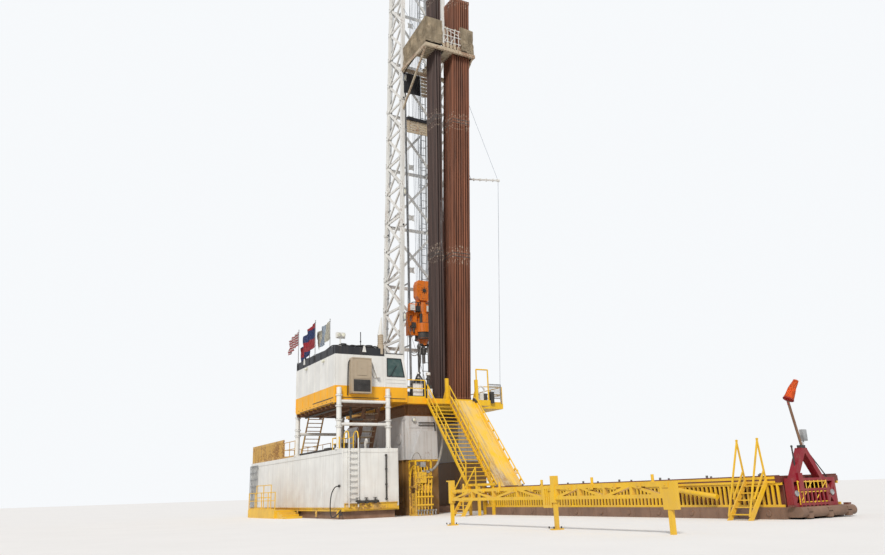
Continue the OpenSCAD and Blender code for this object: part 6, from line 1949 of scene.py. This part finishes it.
class RIG_OT_catwalk_trim(bpy.types.Operator):
    """Makes the plates, stakes, lamps, dark liner of painted shade, bumper and end fittings of the catwalk"""

    bl_idname = "rig.catwalk_trim"
    bl_label = "Catwalk trim"

    def execute(self, context):
        lo, hi = low("catwalk_deck"), high("catwalk_deck")
        skid = high("catwalk_skid")
        plates = Shape()
        for x in spread(lo.x + 0.35, hi.x - 0.25, 15):
            plates.box((x - 0.004, lo.y + 0.03, hi.z - 0.001), (x + 0.004, hi.y - 0.03, hi.z + 0.005))
        for y in (-0.42, 0.42):
            plates.box((lo.x + 0.1, y - 0.02, hi.z - 0.001), (hi.x - 0.05, y + 0.02, hi.z + 0.015))
        for side in (lo.y, hi.y):
            y0, y1 = (side, side + 0.03) if side < 0 else (side - 0.03, side)
            plates.box((lo.x + 0.02, y0, hi.z - 0.002), (hi.x - 0.02, y1, hi.z + 0.028))
        plates.done("catwalk_plates", "red_paint", look="deck_red")
        edge = Shape()
        for side in (lo.y, hi.y):
            y0, y1 = (side - 0.006, side + 0.004) if side < 0 else (side - 0.004, side + 0.006)
            edge.box((lo.x + 0.01, y0, hi.z - 0.035), (hi.x - 0.1, y1, hi.z + 0.008))
            edge.box((lo.x + 0.01, y0, lo.z - 0.008), (hi.x - 0.1, y1, lo.z + 0.03))
        edge.done("catwalk_edge", "yellow_paint")

        stakes = Shape()
        for x in spread(lo.x + 0.6, hi.x - 0.4, 8):
            for y in (lo.y + 0.05, hi.y - 0.05):
                stakes.rod((x, y, hi.z), (x, y, hi.z + 0.07), 0.022, 10)
                stakes.rod((x, y, hi.z), (x, y, hi.z + 0.012), 0.036, 10)
        stakes.box((lo.x + 0.06, -0.10, hi.z), (lo.x + 0.4, -0.07, hi.z + 0.05))
        stakes.box((lo.x + 0.06, 0.07, hi.z), (lo.x + 0.4, 0.10, hi.z + 0.05))
        stakes.done("catwalk_stakes", "bare_steel")

        # Dark red liner plates behind the side bars: painted shade that fills the gaps between the bars
        liner = Shape()
        liner.box((lo.x + 0.05, lo.y + 0.11, 0.185), (hi.x, lo.y + 0.125, 0.585))
        liner.box((lo.x + 0.05, hi.y - 0.125, 0.185), (hi.x, hi.y - 0.11, 0.585))
        for x in spread(lo.x + 0.1, hi.x - 0.03, 24):
            liner.box((x - 0.012, lo.y + 0.095, 0.20), (x + 0.012, lo.y + 0.11, 0.575))
            liner.box((x - 0.012, hi.y - 0.11, 0.20), (x + 0.012, hi.y - 0.095, 0.575))
        for y in (-0.71, 0.71):
            liner.box((13.93, y - 0.04, 0.19), (14.02, y + 0.04, 0.22))
        liner.done("catwalk_shade_liner", "red_paint", look="deck_red")

        skid_fittings = Shape()
        for x in spread(lo.x + 0.5, hi.x - 0.3, 11):
            skid_fittings.rod((x, lo.y - 0.016, 0.095), (x, lo.y + 0.004, 0.095), 0.05, 16)
            skid_fittings.ring((x, lo.y - 0.012, 0.095), (0, 1, 0), 0.035, 0.009, 16)
        for x in spread(lo.x + 0.2, hi.x - 0.1, 22):
            skid_fittings.box((x - 0.01, lo.y - 0.006, 0.01), (x + 0.01, lo.y + 0.002, 0.185))
        for y in (-0.5, 0.0, 0.5):
            skid_fittings.box((skid.x - 0.08, y - 0.05, 0.02), (skid.x, y + 0.05, 0.17))
        skid_fittings.done("catwalk_skid_fittings", "brown_paint", look="catwalk_skid")

        end = high("catwalk_end")
        fittings = Shape()
        fittings.box((13.91, -0.16, 1.24), (13.97, -0.05, 1.43))
        fittings.box((13.97, -0.15, 1.26), (13.978, -0.06, 1.41))
        fittings.rod((13.94, -0.19, 1.10), (13.94, -0.12, 1.26), 0.014, 10)
        for y in (-0.60, 0.30):
            fittings.rod((end.x - 0.09, y, 0.40), (end.x - 0.01, y, 0.40), 0.045, 16)
            fittings.ring((end.x - 0.01, y, 0.40), (1, 0, 0), 0.04, 0.008, 16)
        fittings.done("catwalk_end_fittings", "bare_steel", look="galvanised", smooth=True)
        post = Shape()
        post.rod((13.95, -0.46, 0.80), (13.95, -0.47, 1.15), 0.013, 10)
        post.rod((13.95, -0.46, 0.87), (13.95, -0.30, 0.89), 0.011, 8)
        post.dome((13.95, -0.47, 1.15), 0.02)
        post.rod((13.94, -0.19, 1.2), (13.93, 0.34, 0.66), 0.006, 6)
        post.rod((13.94, -0.19, 1.2), (13.9, 0.42, 0.60), 0.006, 6)
        post.box((13.90, -0.27, 1.09), (13.975, -0.15, 1.17))
        post.done("catwalk_end_post", "black_paint")
        guard = Shape()
        x = end.x - 0.012
        for y in spread(-0.55, 0.17, 8):
            guard.rod((x, y, 0.22), (x, y, 0.60), 0.009, 8)
        for z in (0.26, 0.42, 0.58):
            guard.rod((x, -0.56, z), (x, 0.18, z), 0.010, 8)
        for a, b in ((-0.55, -0.19), (-0.19, 0.17)):
            guard.rod((x, a, 0.24), (x, b, 0.58), 0.008, 8)
        guard.done("catwalk_cage", "yellow_paint")
        return {"FINISHED"}


class RIG_OT_rack_trim(bpy.types.Operator):
    """Makes the plates, pins and stops of the pipe rack"""

    bl_idname = "rig.rack_trim"
    bl_label = "Pipe rack trim"

    def execute(self, context):
        lo, hi = low("rack_trusses"), high("rack_trusses")
        trim = Shape()
        middle = -4.45
        for x in spread(lo.x + 0.15, hi.x - 0.15, 12):
            trim.box((x - 0.05, lo.y - 0.012, hi.z - 0.07), (x + 0.05, lo.y + 0.002, hi.z + 0.002))
            trim.box((x - 0.05, hi.y - 0.002, hi.z - 0.07), (x + 0.05, hi.y + 0.012, hi.z + 0.002))
            trim.rod((x, lo.y - 0.022, hi.z - 0.035), (x, lo.y - 0.01, hi.z - 0.035), 0.014, 6)
        for x in spread(lo.x + 0.4, hi.x - 0.4, 5):
            trim.rod((x, middle, hi.z), (x, middle, hi.z + 0.10), 0.02, 10)
            trim.rod((x, middle, hi.z), (x, middle, hi.z + 0.015), 0.035, 10)
        trim.done("rack_plates", "yellow_paint")
        feet = Shape()
        for x in (9.44, 12.64):
            for dy in (-0.07, 0.07):
                for dx in (-0.06, 0.06):
                    feet.rod((x + dx, middle + dy, 0.02), (x + dx, middle + dy, 0.05), 0.012, 6)
        feet.done("rack_bolts", "bare_steel", look="dark_metal")
        return {"FINISHED"}


class RIG_OT_windsock(bpy.types.Operator):
    """Makes the windsock with its ring at the top of the pole"""

    bl_idname = "rig.windsock"
    bl_label = "Windsock"

    def execute(self, context):
        sizes = context.scene.rig_sizes
        lo, hi = low("windsock_pole"), high("windsock_pole")
        top = Vector(((lo.x + hi.x) / 2, lo.y + 0.02, hi.z - 0.01))
        ahead = Vector((0.15, 0.45, 0.88)).normalized()
        side = ahead.orthogonal().normalized()
        other = ahead.cross(side)
        mouth, tail = sizes.sock_mouth / 2, sizes.sock_mouth / 4
        ring = Shape()
        start = top + ahead * mouth * 0.4
        ring.ring(start, ahead, mouth, 0.009, 24)
        ring.rod(top - Vector((0, 0, 0.06)), top + Vector((0, 0, 0.03)), 0.016, 10)
        ring.beam(start - side * mouth, start + side * mouth, 0.008)
        ring.beam(top, start, 0.012)
        ring.done("windsock_ring", "red_paint")
        sock = Shape()
        rings = []
        for s in spread(0, 1, 16):
            middle = start + ahead * s * sizes.sock_length + Vector((0, 0, -0.05)) * s * s
            r = mouth + (tail - mouth) * s
            rings.append([
                sock.mesh.verts.new(middle + (side * math.cos(t) + other * math.sin(t)) * r * (
                    1 + 0.06 * math.sin(5 * t + 9 * s)))
                for t in (2 * math.pi * k / 24 for k in range(24))])
        for a, b in zip(rings, rings[1:]):
            for k in range(24):
                sock.mesh.faces.new((a[k], b[k], b[(k + 1) % 24], a[(k + 1) % 24]))
        bmesh.ops.solidify(sock.mesh, geom=sock.mesh.faces[:], thickness=0.002)
        bmesh.ops.recalc_face_normals(sock.mesh, faces=sock.mesh.faces[:])
        piece = sock.done("windsock", "canvas", look="sock", smooth=True)
        return {"FINISHED"}


class RIG_OT_boom(bpy.types.Operator):
    """Makes the service boom on the far side of the mast and its stays"""

    bl_idname = "rig.boom"
    bl_label = "Service boom"

    def execute(self, context):
        sizes = context.scene.rig_sizes
        root = leg(1, True, 11.45) + Vector((0.05, 0.0, 0))
        tip = Vector((3.57, 1.0, 10.23))
        boom = Shape()
        boom.beam(root, tip, 0.07, 0.05)
        boom.box(root - Vector((0.09, 0.08, 0.10)), root + Vector((0.05, 0.08, 0.10)))
        boom.rod(root - Vector((0, 0.10, 0)), root + Vector((0, 0.10, 0)), 0.03, 12)
        boom.rod(tip - Vector((0, 0.04, 0)), tip + Vector((0, 0.04, 0)), 0.05, 16)
        for share in spread(0.12, 0.9, 7):
            at = root.lerp(tip, share)
            boom.beam(at - Vector((0, 0, 0.05)), at + Vector((0, 0, 0.05)), 0.06, 0.012)
        boom.done("service_boom", "white_paint", look="mast_white")
        stays = Shape()
        r = sizes.stay / 2
        stays.rod(tip, leg(1, True, 16.9) + Vector((0.05, 0.02, 0)), r, 6)
        stays.rod(root.lerp(tip, 0.45), leg(1, True, 13.6) + Vector((0.05, 0.02, 0)), r, 6)
        stays.rod(tip - Vector((0, 0, 0.04)), (1.72, high("floor_rails").y - 0.05, FLOOR_TOP + 0.5), r, 6)
        stays.done("boom_stays", "wire_rope")
        return {"FINISHED"}


class RIG_PT_panel(bpy.types.Panel):
    """Lists the rig's steps, colours and sizes"""

    bl_idname = "RIG_PT_panel"
    bl_label = "Land drilling rig"
    bl_space_type = "VIEW_3D"
    bl_region_type = "UI"
    bl_category = "Rig"

    def draw(self, context):
        for step in STEPS:
            self.layout.operator(f"rig.{step}")
        for group in (context.scene.rig_colours, context.scene.rig_sizes):
            box = self.layout.box()
            for name in group.__annotations__:
                box.prop(group, name)


STEPS = (
    "stage", "finishes", "hoses", "house_trim", "cab_trim", "roof_fittings", "flags", "hvac_trim",
    "underside", "posts_trim", "tank_trim", "tank_roof_trim", "side_box_trim", "hydraulic_trim",
    "floor_trim", "drawworks_trim", "ramp_trim", "mast_trim", "crown_trim", "board_trim", "pipe_trim",
    "hoist_trim", "drill_lines", "catwalk_trim", "rack_trim", "windsock", "boom",
)
CLASSES = (
    RigColours, RigSizes, RIG_OT_stage, RIG_OT_finishes, RIG_OT_hoses, RIG_OT_house_trim,
    RIG_OT_cab_trim, RIG_OT_roof_fittings, RIG_OT_flags, RIG_OT_hvac_trim, RIG_OT_underside,
    RIG_OT_posts_trim, RIG_OT_tank_trim, RIG_OT_tank_roof_trim, RIG_OT_side_box_trim,
    RIG_OT_hydraulic_trim, RIG_OT_floor_trim, RIG_OT_drawworks_trim, RIG_OT_ramp_trim,
    RIG_OT_mast_trim, RIG_OT_crown_trim, RIG_OT_board_trim, RIG_OT_pipe_trim, RIG_OT_hoist_trim,
    RIG_OT_drill_lines, RIG_OT_catwalk_trim, RIG_OT_rack_trim, RIG_OT_windsock, RIG_OT_boom,
    RIG_PT_panel,
)


def register():
    for item in CLASSES:
        bpy.utils.register_class(item)
    bpy.types.Scene.rig_colours = PointerProperty(type=RigColours)
    bpy.types.Scene.rig_sizes = PointerProperty(type=RigSizes)


def unregister():
    del bpy.types.Scene.rig_sizes
    del bpy.types.Scene.rig_colours
    for item in reversed(CLASSES):
        bpy.utils.unregister_class(item)


def main():
    register()
    for step in STEPS:
        if getattr(bpy.ops.rig, step)() != {"FINISHED"}:
            raise RuntimeError(f"{step} did not finish")


if __name__ == "__main__":
    main()
